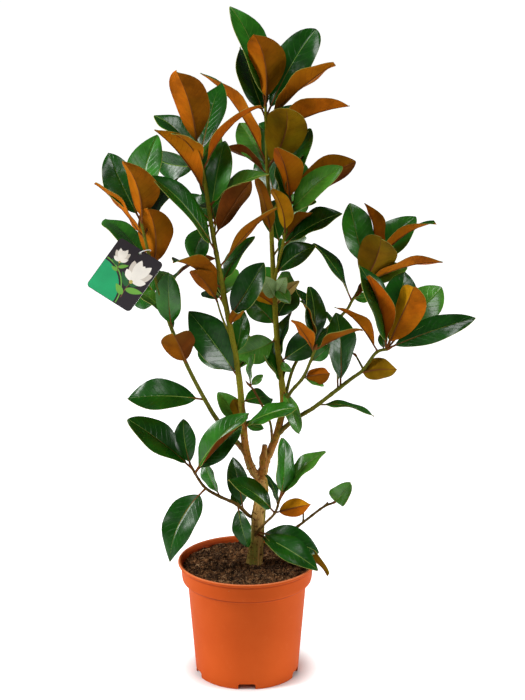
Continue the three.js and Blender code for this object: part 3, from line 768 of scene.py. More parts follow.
trunkWood = limbWood("trunkWood", barkOld, "trunk", "leftLeader", "rightLeader", "prunedStub")
boughWood = limbWood("boughWood", barkBough, "leftBough", "rightLowBough", "rightMidBough",
                     "rightHighBough", "innerTwig")
cutTip = pointAt("prunedStub", 1)
cutWay = (cutTip - pointAt("prunedStub", 0.9)).normalized()
cutCurve = newCurve("cutLine")
addSpline(cutCurve, [cutTip - cutWay * 0.5, cutTip + cutWay * 0.35], [4.0, 3.7])
cutFace = swept(cutCurve, "cutFace", cutWood, *sweeps["cutFace"])
trunkWood = joinPieces([trunkWood, cutFace], "trunkWood")
handOver(trunkWood, "bark", "trunk", "left_leader", "right_leader", "pruned_stub")
handOver(boughWood, "bark", "left_bough", "right_low_bough", "right_mid_bough",
         "right_high_bough", "inner_twig")
print("wood swept")


# Leaves: a blade with two faces, a pale midrib above, and a felted rib and stalk below.

facing = Vector((0, -1, 0.28)).normalized()
leafShape = {
    "stalkShare": 0.12,
    "stations": 20,
    "strips": (0.0, 0.12, 0.36, 0.62, 0.86, 1.0),  # from the rib's edge to the margin
    "thick": 0.9,
    "ribRoot": 0.8,
    "ribTip": 0.22,
    "stalkRadius": 2.1,
    "stalkSides": 7,
    "stalkRings": (0.0, 0.02, 0.06, 0.12, 0.2, 0.34, 0.5, 0.66, 0.8, 0.92, 0.985),
    "ribSink": 0.25,
    "lobes": 0.025,
    "opensBy": 0.18,  # share of the blade where its fold is fully open
    "shadedHalfTurn": 135,  # a felt that faces the front by more than this gets a darker tone on one half, as painted shade
    "ripple": 2.3,
    "swell": 2.0,
    "curl": 0.1,
    "rollFrom": 0.3,  # share of the half where a rolled margin begins
    "fullSize": 110,  # a shorter leaf is thinner and waves less
    "veinPairs": 11.0,
    "veinSlant": 5.5,
    "creaseAngle": 52,
}
rolls = {  # (shoot, number of its leaf): hand and degrees of a margin rolled over
    ("lowLeftShoot", 0): (1, 150),
    ("leftBough", 9): (-1, 110),
    ("rightLowBough", 3): (-1, 70),
    ("rightMidBough", 6): (1, 60),
    ("lowRightShoot", 0): (1, 90),
    ("rightLeader", 27): (-1, 100),
    ("leftLeader", 16): (1, 120),
}
outlines = {  # the same key: how soon the blade widens from its root, how long its tip is
    ("lowLeftShoot", 4): (0.66, 1.0),
    ("rightLeader", 1): (0.95, 0.95),
    ("rightLeader", 3): (0.9, 0.62),
    ("rightLeader", 7): (0.72, 0.55),
    ("rightLeader", 19): (0.9, 1.05),
    ("rightHighBough", 2): (0.5, 0.5),
    ("rightMidBough", 6): (0.7, 1.1),
    ("rightLowBough", 3): (0.7, 1.1),
    ("rightLowBough", 8): (1.3, 0.8),
    ("lowRightShoot", 0): (0.5, 0.75),
    ("leftBough", 1): (0.95, 0.95),
    ("leftBough", 3): (0.62, 0.66),
    ("leftBough", 11): (0.75, 0.8),
    ("frontShoot", 1): (0.8, 1.2),
}
topTones = {
    "deep": (0.006, 0.06, 0.002),
    "mid": (0.02, 0.13, 0.006),
    "fresh": (0.06, 0.22, 0.018),
    "pale": (0.27, 0.42, 0.16),
}
feltTones = {
    "orange": (0.41, 0.104, 0.003),
    "rust": (0.36, 0.07, 0.002),
    "umber": (0.24, 0.07, 0.002),
    "maroon": (0.12, 0.03, 0.003),
    "gold": (0.5, 0.2, 0.004),
    "olive": (0.24, 0.12, 0.003),
    "straw": (0.38, 0.28, 0.08),
    "flame": (0.56, 0.125, 0.003),
}
# the darker tone that paints shade on one half of a felt turned to the front
shadedHalfTones = {"orange": "umber", "rust": "umber", "umber": "maroon", "gold": "orange",
            "flame": "orange"}


def veinsOf(paint):  # 1 on a side vein and 0 between two, the way out, the way along
    parts = paint.parts(paint.out("UVMap", uv_map="leafMap"))
    out = paint.math("ABSOLUTE", paint.math("SUBTRACT", parts["X"], 0.5))
    bend = paint.times(paint.math("POWER", out, 1.25), leafShape["veinSlant"])
    phase = paint.math("SUBTRACT", paint.times(parts["Y"], leafShape["veinPairs"]), bend)
    return paint.spread(paint.math("PINGPONG", phase, 0.5), 0.1, 0.0), out, parts["Y"]


def glossyTop(name, colour):
    red, green, blue = colour
    paint = Paint("leafTop" + name.capitalize(), 0.27, 0.25, (0.3, 0.24))
    vein, out = veinsOf(paint)[:2]
    blade = paint.patched(tint(colour, 0.72), tint(colour, 1.4),
                          paint.clouds(26.0, 3.0, 0.55), (0.35, 0.7))
    fading = paint.times(vein, paint.spread(out, 0.5, 0.1, 0.07, 0.32))
    blade = paint.blend(fading, blade, (red * 3 + 0.01, green * 2.0 + 0.01, blue * 2))
    quilt = paint.math("MULTIPLY_ADD", fading, 0.7, paint.clouds(60.0, 1.0, 0.4))
    return paint.made(blade, quilt, 0.002, 0.6)


def rustyFelt(name, colour):
    red, green, blue = colour
    paint = Paint("felt" + name.capitalize(), 0.75, 0.03)
    vein, out, along = veinsOf(paint)
    felt = paint.patched(tint(colour, 0.62), tint(colour, 1.18),
                         paint.clouds(34.0, 4.0, 0.6), (0.32, 0.7))
    felt = paint.patched(felt, (red * 0.92, green * 1.4, blue),
                         paint.clouds(14.0), (0.42, 0.66, 0.0, 0.6))
    toRib = paint.times(paint.spread(out, 0.12, 0.0), paint.spread(along, 0.75, 0.1))
    for mark, share, shade in ((toRib, 0.65, 0.38), (vein, 0.32, 0.62)):
        felt = paint.blend(paint.times(mark, share), felt, tint(colour, shade))
    napAndShadedHalf = paint.math("MULTIPLY_ADD", paint.clouds(900.0), 0.5, vein)
    return paint.made(felt, napAndShadedHalf, 0.0004, 0.55)


def plainGreen(name, colour, rough):
    paint = Paint(name, rough, 0.08)
    green = paint.patched(tint(colour, 0.75), tint(colour, 1.25), paint.clouds(60.0, 3.0),
                          (0.3, 0.7))
    return paint.made(green, paint.clouds(500.0), 0.0003, 0.4)


leafMaterials = [glossyTop(*entry) for entry in topTones.items()]
leafMaterials += [rustyFelt(*entry) for entry in feltTones.items()]
leafMaterials += [plainGreen("midribPale", (0.15, 0.25, 0.04), 0.45),
                  plainGreen("leafMargin", (0.26, 0.28, 0.06), 0.5),
                  plainGreen("stalkFelt", (0.15, 0.05, 0.01), 0.7)]
toneIndex = {name: i for i, name in enumerate([*topTones, *feltTones])}
ribSlot, marginSlot, stalkSlot = (len(toneIndex) + i for i in range(3))


def leafFrame(root, row, stem="", number=0):
    lean, toward, turn = (math.radians(row[k]) for k in (1, 2, 5))
    level = math.cos(toward)
    way = Vector((math.sin(lean) * level, -math.sin(toward), math.cos(lean) * level))
    top = (facing - way * facing.dot(way)).normalized()
    top.rotate(Quaternion(way, turn))
    return dict(root=root, way=way, top=top, side=way.cross(top), long=row[3], wide=row[4],
                row=row, tone=row[6] if len(row) > 6 else "", key=(stem, number))


def bladeShare(t, fromRoot, toTip):  # half width at a share of the blade, 1 at its widest
    widest = fromRoot / (fromRoot + toTip)
    peak = widest ** fromRoot * (1 - widest) ** toTip
    return t ** fromRoot * (1 - t) ** toTip / peak


def ringAt(centre, across, up, radius, sides, flat=1.0):
    turns = [2 * math.pi * k / sides for k in range(sides)]
    return [centre + across * (radius * math.cos(turn))
            + up * (radius * flat * math.sin(turn)) for turn in turns]


class Foliage:  # vertices, faces, slots and uv of many leaves, joined as they come

    def __init__(self, seed):
        self.seed, self.count = seed, 0
        self.places, self.faces, self.slots, self.uvs = [], [], [], []

    def draw(self, low, high, offset=0.0):  # the present leaf's own share of chance
        return mix(low, high, chance(self.seed, self.count + offset))

    def addFace(self, ids, slot, uv=(0.5, 0.0)):
        self.faces.append(ids)
        self.slots.append(slot)
        self.uvs.extend([uv] * len(ids))

    def addGrid(self, places, uvs, slot, closed=False):
        # places[i][j]: rows along, columns across; a face looks to across x along
        base = len(self.places)
        rows, columns = len(places), len(places[0])
        for row in places:
            self.places.extend(row)
        span = columns if closed else columns - 1
        for i in range(rows - 1):
            for j in range(span):
                k = (j + 1) % columns
                corners = ((i, j), (i, k), (i + 1, k), (i + 1, j))
                self.faces.append([base + a * columns + b for a, b in corners])
                self.slots.append(slot[j] if isinstance(slot, list) else slot)
                self.uvs.extend(uvs[a][b] for a, b in corners)
        return base

    def addTube(self, rings, uvs, slot):  # a tube and its two ends
        sides = len(rings[0])
        base = self.addGrid(rings, uvs, slot, closed=True)
        tip = base + (len(rings) - 1) * sides
        self.addFace([base + k for k in range(sides)][::-1], slot)
        self.addFace([tip + k for k in range(sides)], slot)

    def meshObject(self, name, materials):
        mesh = bpy.data.meshes.new(name)
        mesh.from_pydata([tuple(place * mm) for place in self.places], [], self.faces)
        used = sorted(set(self.slots))
        for slot in used:
            mesh.materials.append(materials[slot])
        mesh.polygons.foreach_set("material_index", [used.index(k) for k in self.slots])
        mesh.polygons.foreach_set("use_smooth", [True] * len(self.faces))
        layer = mesh.uv_layers.new(name="leafMap")
        layer.data.foreach_set("uv", np.array(self.uvs, dtype=np.float32).ravel())
        mesh.validate()
        mesh.set_sharp_from_angle(angle=math.radians(leafShape["creaseAngle"]))
        return added(name, mesh)


def leafLine(spec, draw):
    long, way, top, side = (spec[key] for key in ("long", "way", "top", "side"))
    arch, recurve = draw(0.03, 0.09), draw(0.0, 0.06, 0.25) * long
    sway = spec["row"][7] if len(spec["row"]) > 7 else draw(-0.05, 0.05, 0.3)
    twist = math.radians(draw(-9, 9, 0.45))

    def section(share):  # middle, across and up at a share of the leaf
        hump = 4 * share * (1 - share) * long
        middle = (spec["root"] + way * (share * long) + top * (arch * hump)
                  + side * (sway * hump) - top * (recurve * max(0.0, (share - 0.6) / 0.4) ** 2))
        turn = Quaternion(way, twist * share)
        across, up = side.copy(), top.copy()
        across.rotate(turn)
        up.rotate(turn)
        return middle, across, up

    return section


def leafSlots(spec, dealt):  # of the top and of the felt's two halves
    tone = spec["tone"]
    if tone in topTones:
        felt = toneIndex[list(feltTones)[int(dealt * 4.99)]]
        return toneIndex[tone], felt, felt
    top = toneIndex["deep" if dealt < 0.6 else "mid"]
    # a leaf that turns its felt to the front is painted a darker tone on one half, as painted
    # shade
    turned = abs(spec["row"][5]) > leafShape["shadedHalfTurn"]
    napAndShadedHalf = shadedHalfTones.get(tone, tone) if turned else tone
    return top, toneIndex[tone], toneIndex[napAndShadedHalf]


def addBlade(foliage, spec, section, size, thick):
    shape, draw, tone = leafShape, foliage.draw, spec["tone"]
    strips, rollFrom = shape["strips"], shape["rollFrom"]
    columns = [(-1, f) for f in reversed(strips)] + [(0, 0)] + [(1, f) for f in strips]
    fold = draw(0.2, 0.48, 0.6) * (1.6 if tone in shadedHalfTones else 1)
    shortTip = 0.1 if tone in feltTones else 0
    dealt = draw(0.78, 0.98, 0.35), draw(0.74, 0.95, 0.15) - shortTip
    fromRoot, toTip = outlines.get(spec["key"], dealt)
    phase = 6.28 * draw(0, 1, 0.75)
    rate = draw(1.2, 2.3, 0.85) * 2 * math.pi
    curl = shape["curl"] * draw(0.3, 1.6, 0.95)
    rollHand, rollTurn = rolls.get(spec["key"], (0, 0))
    begin = shape["stalkShare"] * 0.9
    upper, lower, maps = [], [], []
    for i in range(shape["stations"] + 1):
        step = 0.5 - 0.5 * math.cos(math.pi * i / shape["stations"])
        share = begin + (1 - begin) * step
        t = (share - begin) / (1 - begin)
        rib = mix(shape["ribRoot"], shape["ribTip"], t) * mix(0.6, 1, size)
        lobe = 1 + shape["lobes"] * math.sin(rate * t + 3 * phase)
        half = max(lobe * spec["wide"] / 2 * bladeShare(t, fromRoot, toTip), rib + 0.15)
        opening = min(1.0, t / shape["opensBy"])
        arcLong = (half - rib) * (1 - rollFrom)
        whole = math.radians(rollTurn) * math.sin(math.pi * min(1, t * 1.05)) ** 0.6
        girth = arcLong / max(whole, 0.05)
        middle, across, up = section(share)
        rows = [], [], []
        for hand, f in columns:
            x = rib + (half - rib) * f if hand else 0.0
            u = 0.5 + 0.5 * hand * x / half
            lift = fold * opening * (math.sqrt(x * x + 9) - 3)
            lift -= curl * half * f ** 4 * opening
            wave = math.sin(rate * t + phase + hand * 1.7)
            slow = math.sin(3.3 * t + 2.1 * phase + hand)
            lift += shape["ripple"] * size * wave * f * f * opening
            lift += shape["swell"] * size * slow * opening * (0.25 + f)
            if hand == 0:
                lift -= shape["ribSink"]
            tilt = math.atan(fold * opening * min(1.0, 2 * f))
            if hand == rollHand and f > rollFrom:
                part = (f - rollFrom) / (1 - rollFrom)
                flat, rolled = part * arcLong, part * whole + tilt
                x += girth * math.sin(rolled) - girth * math.sin(tilt) - flat
                lift += girth * math.cos(tilt) - girth * math.cos(rolled)
                lift -= flat * math.tan(tilt)
                tilt = rolled
            point = middle + across * (hand * x) + up * lift
            normal = up * math.cos(tilt) - across * (hand * math.sin(tilt))
            for row, value in zip(rows, (point, point - normal * thick, (u, t))):
                row.append(value)
        for table, row in zip((upper, lower, maps), rows):
            table.append(row)

    topSlot, feltSlot, shadedHalfSlot = leafSlots(spec, draw(0, 1, 0.55))
    wide, last = len(columns), len(columns) - 1
    ribColumns = [ribSlot if j in (len(strips) - 1, len(strips)) else topSlot
                  for j in range(last)]
    over = foliage.addGrid(upper, maps, ribColumns)
    under = foliage.addGrid([row[::-1] for row in lower], [row[::-1] for row in maps],
                            [feltSlot] * len(strips) + [shadedHalfSlot] * len(strips))
    for i in range(shape["stations"]):
        a, b = over + i * wide, under + i * wide
        foliage.addFace([a + last, b, b + wide, a + wide + last], marginSlot, (1.0, 0.5))
        foliage.addFace([b + last, a, a + wide, b + wide + last], marginSlot, (0.0, 0.5))
    a, b = over + shape["stations"] * wide, under + shape["stations"] * wide
    for j in range(last):
        k = last - j
        foliage.addFace([over + j, under + k, under + k - 1, over + j + 1], marginSlot)
        foliage.addFace([a + j + 1, b + k - 1, b + k, a + j], marginSlot, (0.5, 1.0))


def addStalk(foliage, section, size, thick):  # it runs on under the blade as its raised rib
    stalkShare, sides = leafShape["stalkShare"], leafShape["stalkSides"]
    rings, maps = [], []
    for share in leafShape["stalkRings"]:
        middle, across, up = section(share)
        run = max(0.0, (share - stalkShare) / (1 - stalkShare))
        radius = mix(leafShape["stalkRadius"] * 0.86, 0.3, run ** 0.8) * mix(0.62, 1, size)
        if share < 0.05:
            radius *= 1.35 - 6 * share
        drop = thick * 0.9 * min(1.0, share / stalkShare)
        centre = middle - up * (drop + leafShape["ribSink"])
        ring = ringAt(centre, across, up, radius, sides, 0.85)
        rings.append(ring[::-1])
        maps.append([(0.5, run)] * sides)
    foliage.addTube(rings, maps, stalkSlot)


def addLeaf(foliage, spec):
    size = min(1.0, spec["long"] / leafShape["fullSize"])
    thick = leafShape["thick"] * mix(0.7, 1.0, size)
    section = leafLine(spec, foliage.draw)
    addBlade(foliage, spec, section, size, thick)
    addStalk(foliage, section, size, thick)
    foliage.count += 1


def addBud(foliage, place, way, long, radius):  # the felted bud at a shoot's tip
    across = way.orthogonal().normalized()
    up = way.cross(across)
    profile = ((-0.12, 0.75), (0.0, 0.95), (0.2, 1.0), (0.45, 0.8), (0.7, 0.5), (0.9, 0.2),
               (1.0, 0.04))
    sides = 9
    rings = [ringAt(place + way * (share * long) + across * (0.06 * long * share * share),
                    across, up, radius * girth, sides) for share, girth in profile]
    foliage.addTube(rings, [[(0.5, 0.5)] * sides] * len(rings), stalkSlot)


# The back of the crown fills itself by the same seeded rule as the solids.

sprigRule = {
    "long": 38,
    "leaves": 3,
    "toward": -62,
    "fan": 58,
    "limbClear": 26,
    "leafClear": 32,
    "rings": 12,
    "radii": (2.1, 1.5),
}
limbMarks = [(name, pointAt(name, i / 24)) for name in limbs for i in range(25)]
leafMarks = []


def probes(spec, shares):
    return [spec["root"] + spec["way"] * (share * spec["long"]) for share in shares]


def markLeaf(massName, spec):
    leafMarks.extend((massName, mark) for mark in probes(spec, (0.45, 0.75, 1)))


def crowded(massName, stem, spec):
    return any(name != own and (mark - probe).length < clear
               for probe in probes(spec, (0.5, 0.75, 1))
               for own, marks, clear in ((stem, limbMarks, sprigRule["limbClear"]),
                                         (massName, leafMarks, sprigRule["leafClear"]))
               for name, mark in marks)


def growSprig(massName, mass, number):
    stem, base = mass["stems"][0], number * 7 + 40

    def dealt(low, high, offset):
        return mix(low, high, chance(mass["grow"], base + offset))

    at = mix(max(limbs[stem]["split"], 0.3) + 0.08, 0.94, (number + 0.5) / mass["sprigs"])
    lean = dealt(-50, 50, 0)
    twig = leafFrame(pointAt(stem, at),
                     (at, lean, sprigRule["toward"], sprigRule["long"], 1, 0))
    tip = twig["root"] + twig["way"] * sprigRule["long"]
    specs = []
    for k in range(sprigRule["leaves"]):
        fan = (k - (sprigRule["leaves"] - 1) / 2) * sprigRule["fan"]
        toward = dealt(-75, -35, k + 1)
        long = dealt(85, 115, k + 3)
        turn = dealt(-35, 35, k + 5)
        tone = ("deep", "mid", "fresh")[k % 3]
        specs.append(leafFrame(tip, (1, lean + fan, toward, long, long * 0.45, turn, tone)))
    return twig, tip, [spec for spec in specs if not crowded(massName, stem, spec)]


listed = {stem: [leafFrame(pointAt(stem, row[0]), row, stem, number)
                 for number, row in enumerate(leaves.get(stem, []))] for stem in limbs}
for massName, mass in masses.items():
    for stem in mass["stems"]:
        for spec in listed[stem]:
            markLeaf(massName, spec)

leafTotal = 0
for massName, mass in masses.items():
    foliage = Foliage(mass["seed"])
    stemCurve = newCurve(massName + "Lines")
    for stem in mass["stems"]:
        addLimb(stemCurve, stem, max(0, limbs[stem]["split"] - 0.004), 1)
        for spec in listed[stem]:
            addLeaf(foliage, spec)
        tip = pointAt(stem, 1)
        if not stem.startswith("snag"):
            addBud(foliage, tip, (tip - pointAt(stem, 0.97)).normalized(), 11,
                   limbs[stem]["radii"][1] * 1.25)
    for number in range(mass["sprigs"]):
        twig, tip, specs = growSprig(massName, mass, number)
        if not specs:
            continue
        shares = [i / sprigRule["rings"] for i in range(sprigRule["rings"] + 1)]
        addSpline(stemCurve, [twig["root"] + twig["way"] * (sprigRule["long"] * share)
                              for share in shares],
                  [mix(*sprigRule["radii"], share) for share in shares])
        addBud(foliage, tip, twig["way"], 9, 1.9)
        for spec in specs:
            markLeaf(massName, spec)
            addLeaf(foliage, spec)
    leafTotal += foliage.count
    handOver(swept(stemCurve, massName + "_stems", stemBark(massName), *sweeps["stems"],
                   float(mass["seed"])), "bark")
    handOver(foliage.meshObject(massName + "_leaves", leafMaterials), "foliage", massName)
print("leaves grown:", leafTotal)


# Pot: one turned wall with its rolled rim and raised floor, notched at the foot

pot = {
    "tall": 206,
    "rimRadius": 120,
    "footRadius": 89.5,
    "collarTall": 36,
    "collarRadius": 113,
    "bodyTopRadius": 103.5,
    "wall": 2.5,
    "floor": 3,
    "channelRise": 8,
    "padRadius": 40,
    "notches": 5,
    "notchWide": 30,
    "notchTall": 11,
    "notchCorner": 4.5,
    "notchReach": 7,
    "around": 160,
    "creaseAngle": 38,
    "plastic": (0.45, 0.066, 0.008),
    "faded": (0.5, 0.082, 0.011),
    "dust": (0.7, 0.2, 0.08),
    # the dark colour of the painted shade under the collar's lip and the rim's lip
    "lipShade": (0.2, 0.022, 0.002),
    # the light colour of the painted highlight along the top of the rim
    "rimHighlight": (0.8, 0.24, 0.09),
}
tall, wall, footRadius = pot["tall"], pot["wall"], pot["footRadius"]
rimRadius, collarRadius, padRadius = pot["rimRadius"], pot["collarRadius"], pot["padRadius"]
collarLow = tall - pot["collarTall"]
rise = pot["channelRise"]
floorTop = rise + pot["floor"]


def wallRadius(z):
    return mix(footRadius, pot["bodyTopRadius"], z / collarLow)


def roundedLine(line, steps=4):  # corners of (radius, height, fillet) turned into arcs
    out = []
    for i, (r, z, fillet) in enumerate(line):
        here = Vector((r, z))
        if fillet == 0 or i in (0, len(line) - 1):
            out.append((r, z))
            continue
        before, after = Vector(line[i - 1][:2]), Vector(line[i + 1][:2])
        cut = min(fillet, 0.48 * (before - here).length, 0.48 * (after - here).length)
        a = here + (before - here).normalized() * cut
        b = here + (after - here).normalized() * cut
        for k in range(steps + 1):
            t = k / steps
            out.append(tuple(a * (1 - t) ** 2 + here * (2 * t * (1 - t)) + b * t * t))
    return out


def turned(name, line, around, shift=None):  # a lathe between two ends on the axis
    deg = bmesh.new()
    rings = []
    for r, z in line:
        turns = [2 * math.pi * k / around for k in range(around)]
        places = [Vector((r * math.cos(turn), r * math.sin(turn), z)) for turn in turns]
        if r < 1e-6:
            places = [Vector((0, 0, z))]
        elif shift:
            places = [place + shift(place) for place in places]
        rings.append([deg.verts.new(place * mm) for place in places])
    for low, high in zip(rings, rings[1:]):
        for k in range(around):
            m = (k + 1) % around
            if len(low) == 1:
                corners = (low[0], high[m], high[k])
            elif len(high) == 1:
                corners = (low[k], low[m], high[0])
            else:
                corners = (low[k], low[m], high[m], high[k])
            deg.faces.new(corners).smooth = True
    bmesh.ops.recalc_face_normals(deg, faces=deg.faces)
    return added(name, meshOf(deg, name))


potLine = [
    (0, 0, 0),
    (padRadius, 0, 1),
    (padRadius + 3, rise, 2),
    (footRadius - wall - 1, rise, 1.5),
    (footRadius - wall, 0.6, 0.6),
    (footRadius - wall + 0.7, 0, 0.5),
    (footRadius - 0.8, 0, 0.6),
    (footRadius, 1.2, 0.8),
    (wallRadius(60), 60, 8),
    (wallRadius(collarLow - 4), collarLow - 4, 3),
    (wallRadius(collarLow) + 5, collarLow - 1.5, 3),
    (collarRadius - 0.6, collarLow + 2, 3),
    (collarRadius + 0.3, collarLow + 8, 4),
    (collarRadius + 1.8, tall - 7.8, 3),
    (rimRadius - 2.2, tall - 6.6, 2),
    (rimRadius, tall - 4.2, 2),
    (rimRadius - 0.4, tall - 1.2, 2),
    (rimRadius - 2.4, tall, 1.6),
    (rimRadius - 4.6, tall - 1.4, 1.6),
    (collarRadius + 1.6 - wall, tall - 9, 3),
    (collarRadius - wall - 1, collarLow + 4, 4),
    (wallRadius(collarLow) - wall, collarLow, 3),
    (wallRadius(floorTop) - wall, floorTop, 2),
    (padRadius + 1, floorTop, 1),
    (padRadius - 2, pot["floor"], 1),
    (0, pot["floor"], 0),
]
potShell = turned("potShell", roundedLine(potLine), pot["around"])
half, top, corner = pot["notchWide"] / 2, pot["notchTall"] - 0.5, pot["notchCorner"]
notchEdge = [(-half, -2), (half, -2), (half, top - corner)]
for i in range(1, 6):
    angle = math.pi / 2 * i / 6
    notchEdge.append((half - corner + corner * math.cos(angle),
                      top - corner + corner * math.sin(angle)))
notchEdge += [(half - corner, top)] + [(-x, z) for x, z in notchEdge[::-1] if z > 0]
cutter = bmesh.new()
for k in range(pot["notches"]):
    spin = 2 * math.pi * k / pot["notches"]
    front, back = ([cutter.verts.new(Vector((
        x * math.cos(spin) - depth * math.sin(spin),
        x * math.sin(spin) + depth * math.cos(spin), z)) * mm) for x, z in notchEdge]
        for depth in (-footRadius - pot["notchReach"], -footRadius + pot["notchReach"]))
    cutter.faces.new(front)
    cutter.faces.new(back[::-1])
    for i in range(len(notchEdge)):
        cutter.faces.new((front[i], front[i - 1], back[i - 1], back[i]))
bmesh.ops.recalc_face_normals(cutter, faces=cutter.faces)
notchCutter = added("notchCutter", meshOf(cutter, "notchCutter"))
bite = potShell.modifiers.new("notches", "BOOLEAN")
bite.operation = "DIFFERENCE"
bite.solver = "EXACT"
bite.object = notchCutter
potPiece = plainMesh(potShell, "nurseryPot")
bpy.data.objects.remove(notchCutter)
potPiece.data.set_sharp_from_angle(angle=math.radians(pot["creaseAngle"]))

paint = Paint("potPlastic", 0.6, 0.05)
height = paint.parts(paint.place)["Z"]
plastic = paint.patched(pot["plastic"], pot["faded"], paint.clouds(7.0, 4.0, 0.6), (0.3, 0.7))
plastic = paint.patched(plastic, pot["dust"], paint.clouds(55.0, 5.0, 0.7),
                        (0.6, 0.8, 0.0, 0.1))
for line, strength in ((collarLow - 0.5, 0.75), (tall - 8, 0.55)):  # painted shade under the collar's lip and under the rim's lip
    away = paint.math("ABSOLUTE", paint.math("SUBTRACT", height, line * mm))
    plastic = paint.patched(plastic, pot["lipShade"], away, (0.0032, 0.001, 0.0, strength))
# a painted highlight along the top of the rim
rimHighlight = ((tall - 2.6) * mm, (tall - 0.8) * mm, 0.0, 0.7)
plastic = paint.patched(plastic, pot["rimHighlight"], height, rimHighlight)
turnMarks = paint.noise(paint.stretched(paint.place, (6.0, 6.0, 260.0)), 1.0)
skin = paint.math("MULTIPLY_ADD", paint.clouds(700.0), 0.4, turnMarks)
potPiece.data.materials.clear()
potPiece.data.materials.append(paint.made(plastic, skin, 0.00025, 0.5))
handOver(potPiece, "terracotta", "pot")
print("pot turned")


# Peat: a crumbly bed, with loose crumbs and fibres scattered over it

peat = {
    "edgeDrop": 2,
    "gap": 0.3,
    "relief": 3.4,
    "lumps": 2.6,
    "mound": 2.2,  # a ring of raised peat round the trunk, its radius and half width
    "moundRadius": 16,
    "moundHalf": 9,
    "radius": 111,
    "around": 176,
    "rings": 56,
    "clearWall": 0.1065,
    "crumbKinds": 6,
    "fibreKinds": 5,
    "crumbSpread": (0.0026, 120000.0, 0.6, 3.6, 3.14, 7),  # as scattered() takes them
    "fibreSpread": (0.0035, 36000.0, 0.6, 1.5, 0.35, 12),
    "shade": (0.014, 0.006, 0.002),
    "mould": (0.15, 0.066, 0.024),
    "speck": (0.36, 0.19, 0.08),
    "damp": (0.02, 0.009, 0.004),
    "fibreDark": (0.08, 0.036, 0.014),
    "fibrePale": (0.42, 0.25, 0.12),
}


def peatHeight(x, y):
    out = math.hypot(x, y) / peat["radius"]
    rough = noise.fractal(Vector((x, y, 3)) * 0.07, 0.5, 2.2, 6)
    lumps = (abs(noise.noise(Vector((x, y, 9)) * 0.11))
             + abs(noise.noise(Vector((x, y, 5)) * 0.2)))
    fromTrunk = math.hypot(x - limbs["trunk"]["start"][0], y)
    near = math.exp(-((fromTrunk - peat["moundRadius"]) / peat["moundHalf"]) ** 2)
    return (soilTop - peat["edgeDrop"] * out ** 2 + peat["relief"] * rough
            - peat["lumps"] * lumps + peat["mound"] * near + 0.6)


def peatShift(place):
    if place.z < soilTop - 0.1:
        return Vector((0, 0, 0))
    return Vector((0, 0, peatHeight(place.x, place.y) - place.z))


gap = peat["gap"]
low = floorTop + gap
edgeRadius = collarRadius + 0.8 - wall - gap
peatLine = [
    (0, low),
    (wallRadius(low) - wall - gap, low),
    (wallRadius(collarLow) - wall - gap, collarLow),
    (collarRadius - wall - 1 - gap, collarLow + 4 + gap),
]
peatLine += [(edgeRadius * (1 - i / peat["rings"]), soilTop) for i in range(peat["rings"] + 1)]
peatBed = turned("peatBed", peatLine, peat["around"], peatShift)
centreVertex = max(peatBed.data.vertices,
                   key=lambda v: (math.hypot(v.co.x, v.co.y) < 1e-9, v.co.z))
centreVertex.co.z = peatHeight(0, 0) * mm

paint = Paint("peatMould", 0.96, 0.15)
clods, specks = paint.clouds(95.0, 4.0, 0.65), paint.clouds(260.0, 3.0, 0.6)
mould = paint.patched(peat["shade"], peat["mould"], clods, (0.4, 0.62))
mould = paint.patched(mould, peat["speck"], specks, (0.53, 0.68))
mould = paint.patched(mould, peat["damp"], paint.clouds(30.0, 3.0, 0.6),
                      (0.47, 0.62, 0.0, 0.85))
relief = paint.math("MULTIPLY_ADD", specks, 0.6, clods)
peatMaterial = paint.made(mould, relief, 0.0016, 0.9)
peatBed.data.materials.append(peatMaterial)
paint = Paint("peatFibre", 0.9)
fibreMaterial = paint.made(paint.patched(peat["fibreDark"], peat["fibrePale"],
                                         paint.clouds(90.0), (0.4, 0.6)))


def crumbShape(deg, seed):
    bmesh.ops.create_icosphere(deg, subdivisions=1, radius=mm)
    for vertex in deg.verts:
        shift = noise.noise(vertex.co * 900 + Vector((seed * 7.3, 0, 0)))
        vertex.co *= 1 + 0.5 * shift
        vertex.co.z *= 0.75


def fibreShape(deg, seed):  # a bent sliver of three sides
    long, hand = 7 + 2.2 * seed, 1 if seed % 2 else -1
    rings = []
    for i in range(5):
        t = i / 4 - 0.5
        girth = 0.42 * (1 - 1.6 * t * t)
        centre = Vector((t * long, 2.2 * t * t * hand + 0.4 * math.sin(5 * t),
                         0.8 * math.sin(seed + 4 * t)))
        rings.append([deg.verts.new((centre + Vector((
            0, girth * math.cos(a), girth * 0.6 * math.sin(a)))) * mm)
            for a in (0, 2.1, 4.2)])
    for low, high in zip(rings, rings[1:]):
        for k in range(3):
            deg.faces.new((low[k - 1], low[k], high[k], high[k - 1]))
    deg.faces.new(rings[0])
    deg.faces.new(rings[-1][::-1])
    bmesh.ops.recalc_face_normals(deg, faces=deg.faces)


def gathered(name, shape, kinds):
    group = bpy.data.collections.new(name)
    for seed in range(kinds):
        deg = bmesh.new()
        shape(deg, seed)
        group.objects.link(bpy.data.objects.new(name + str(seed), meshOf(deg, name)))
    return group


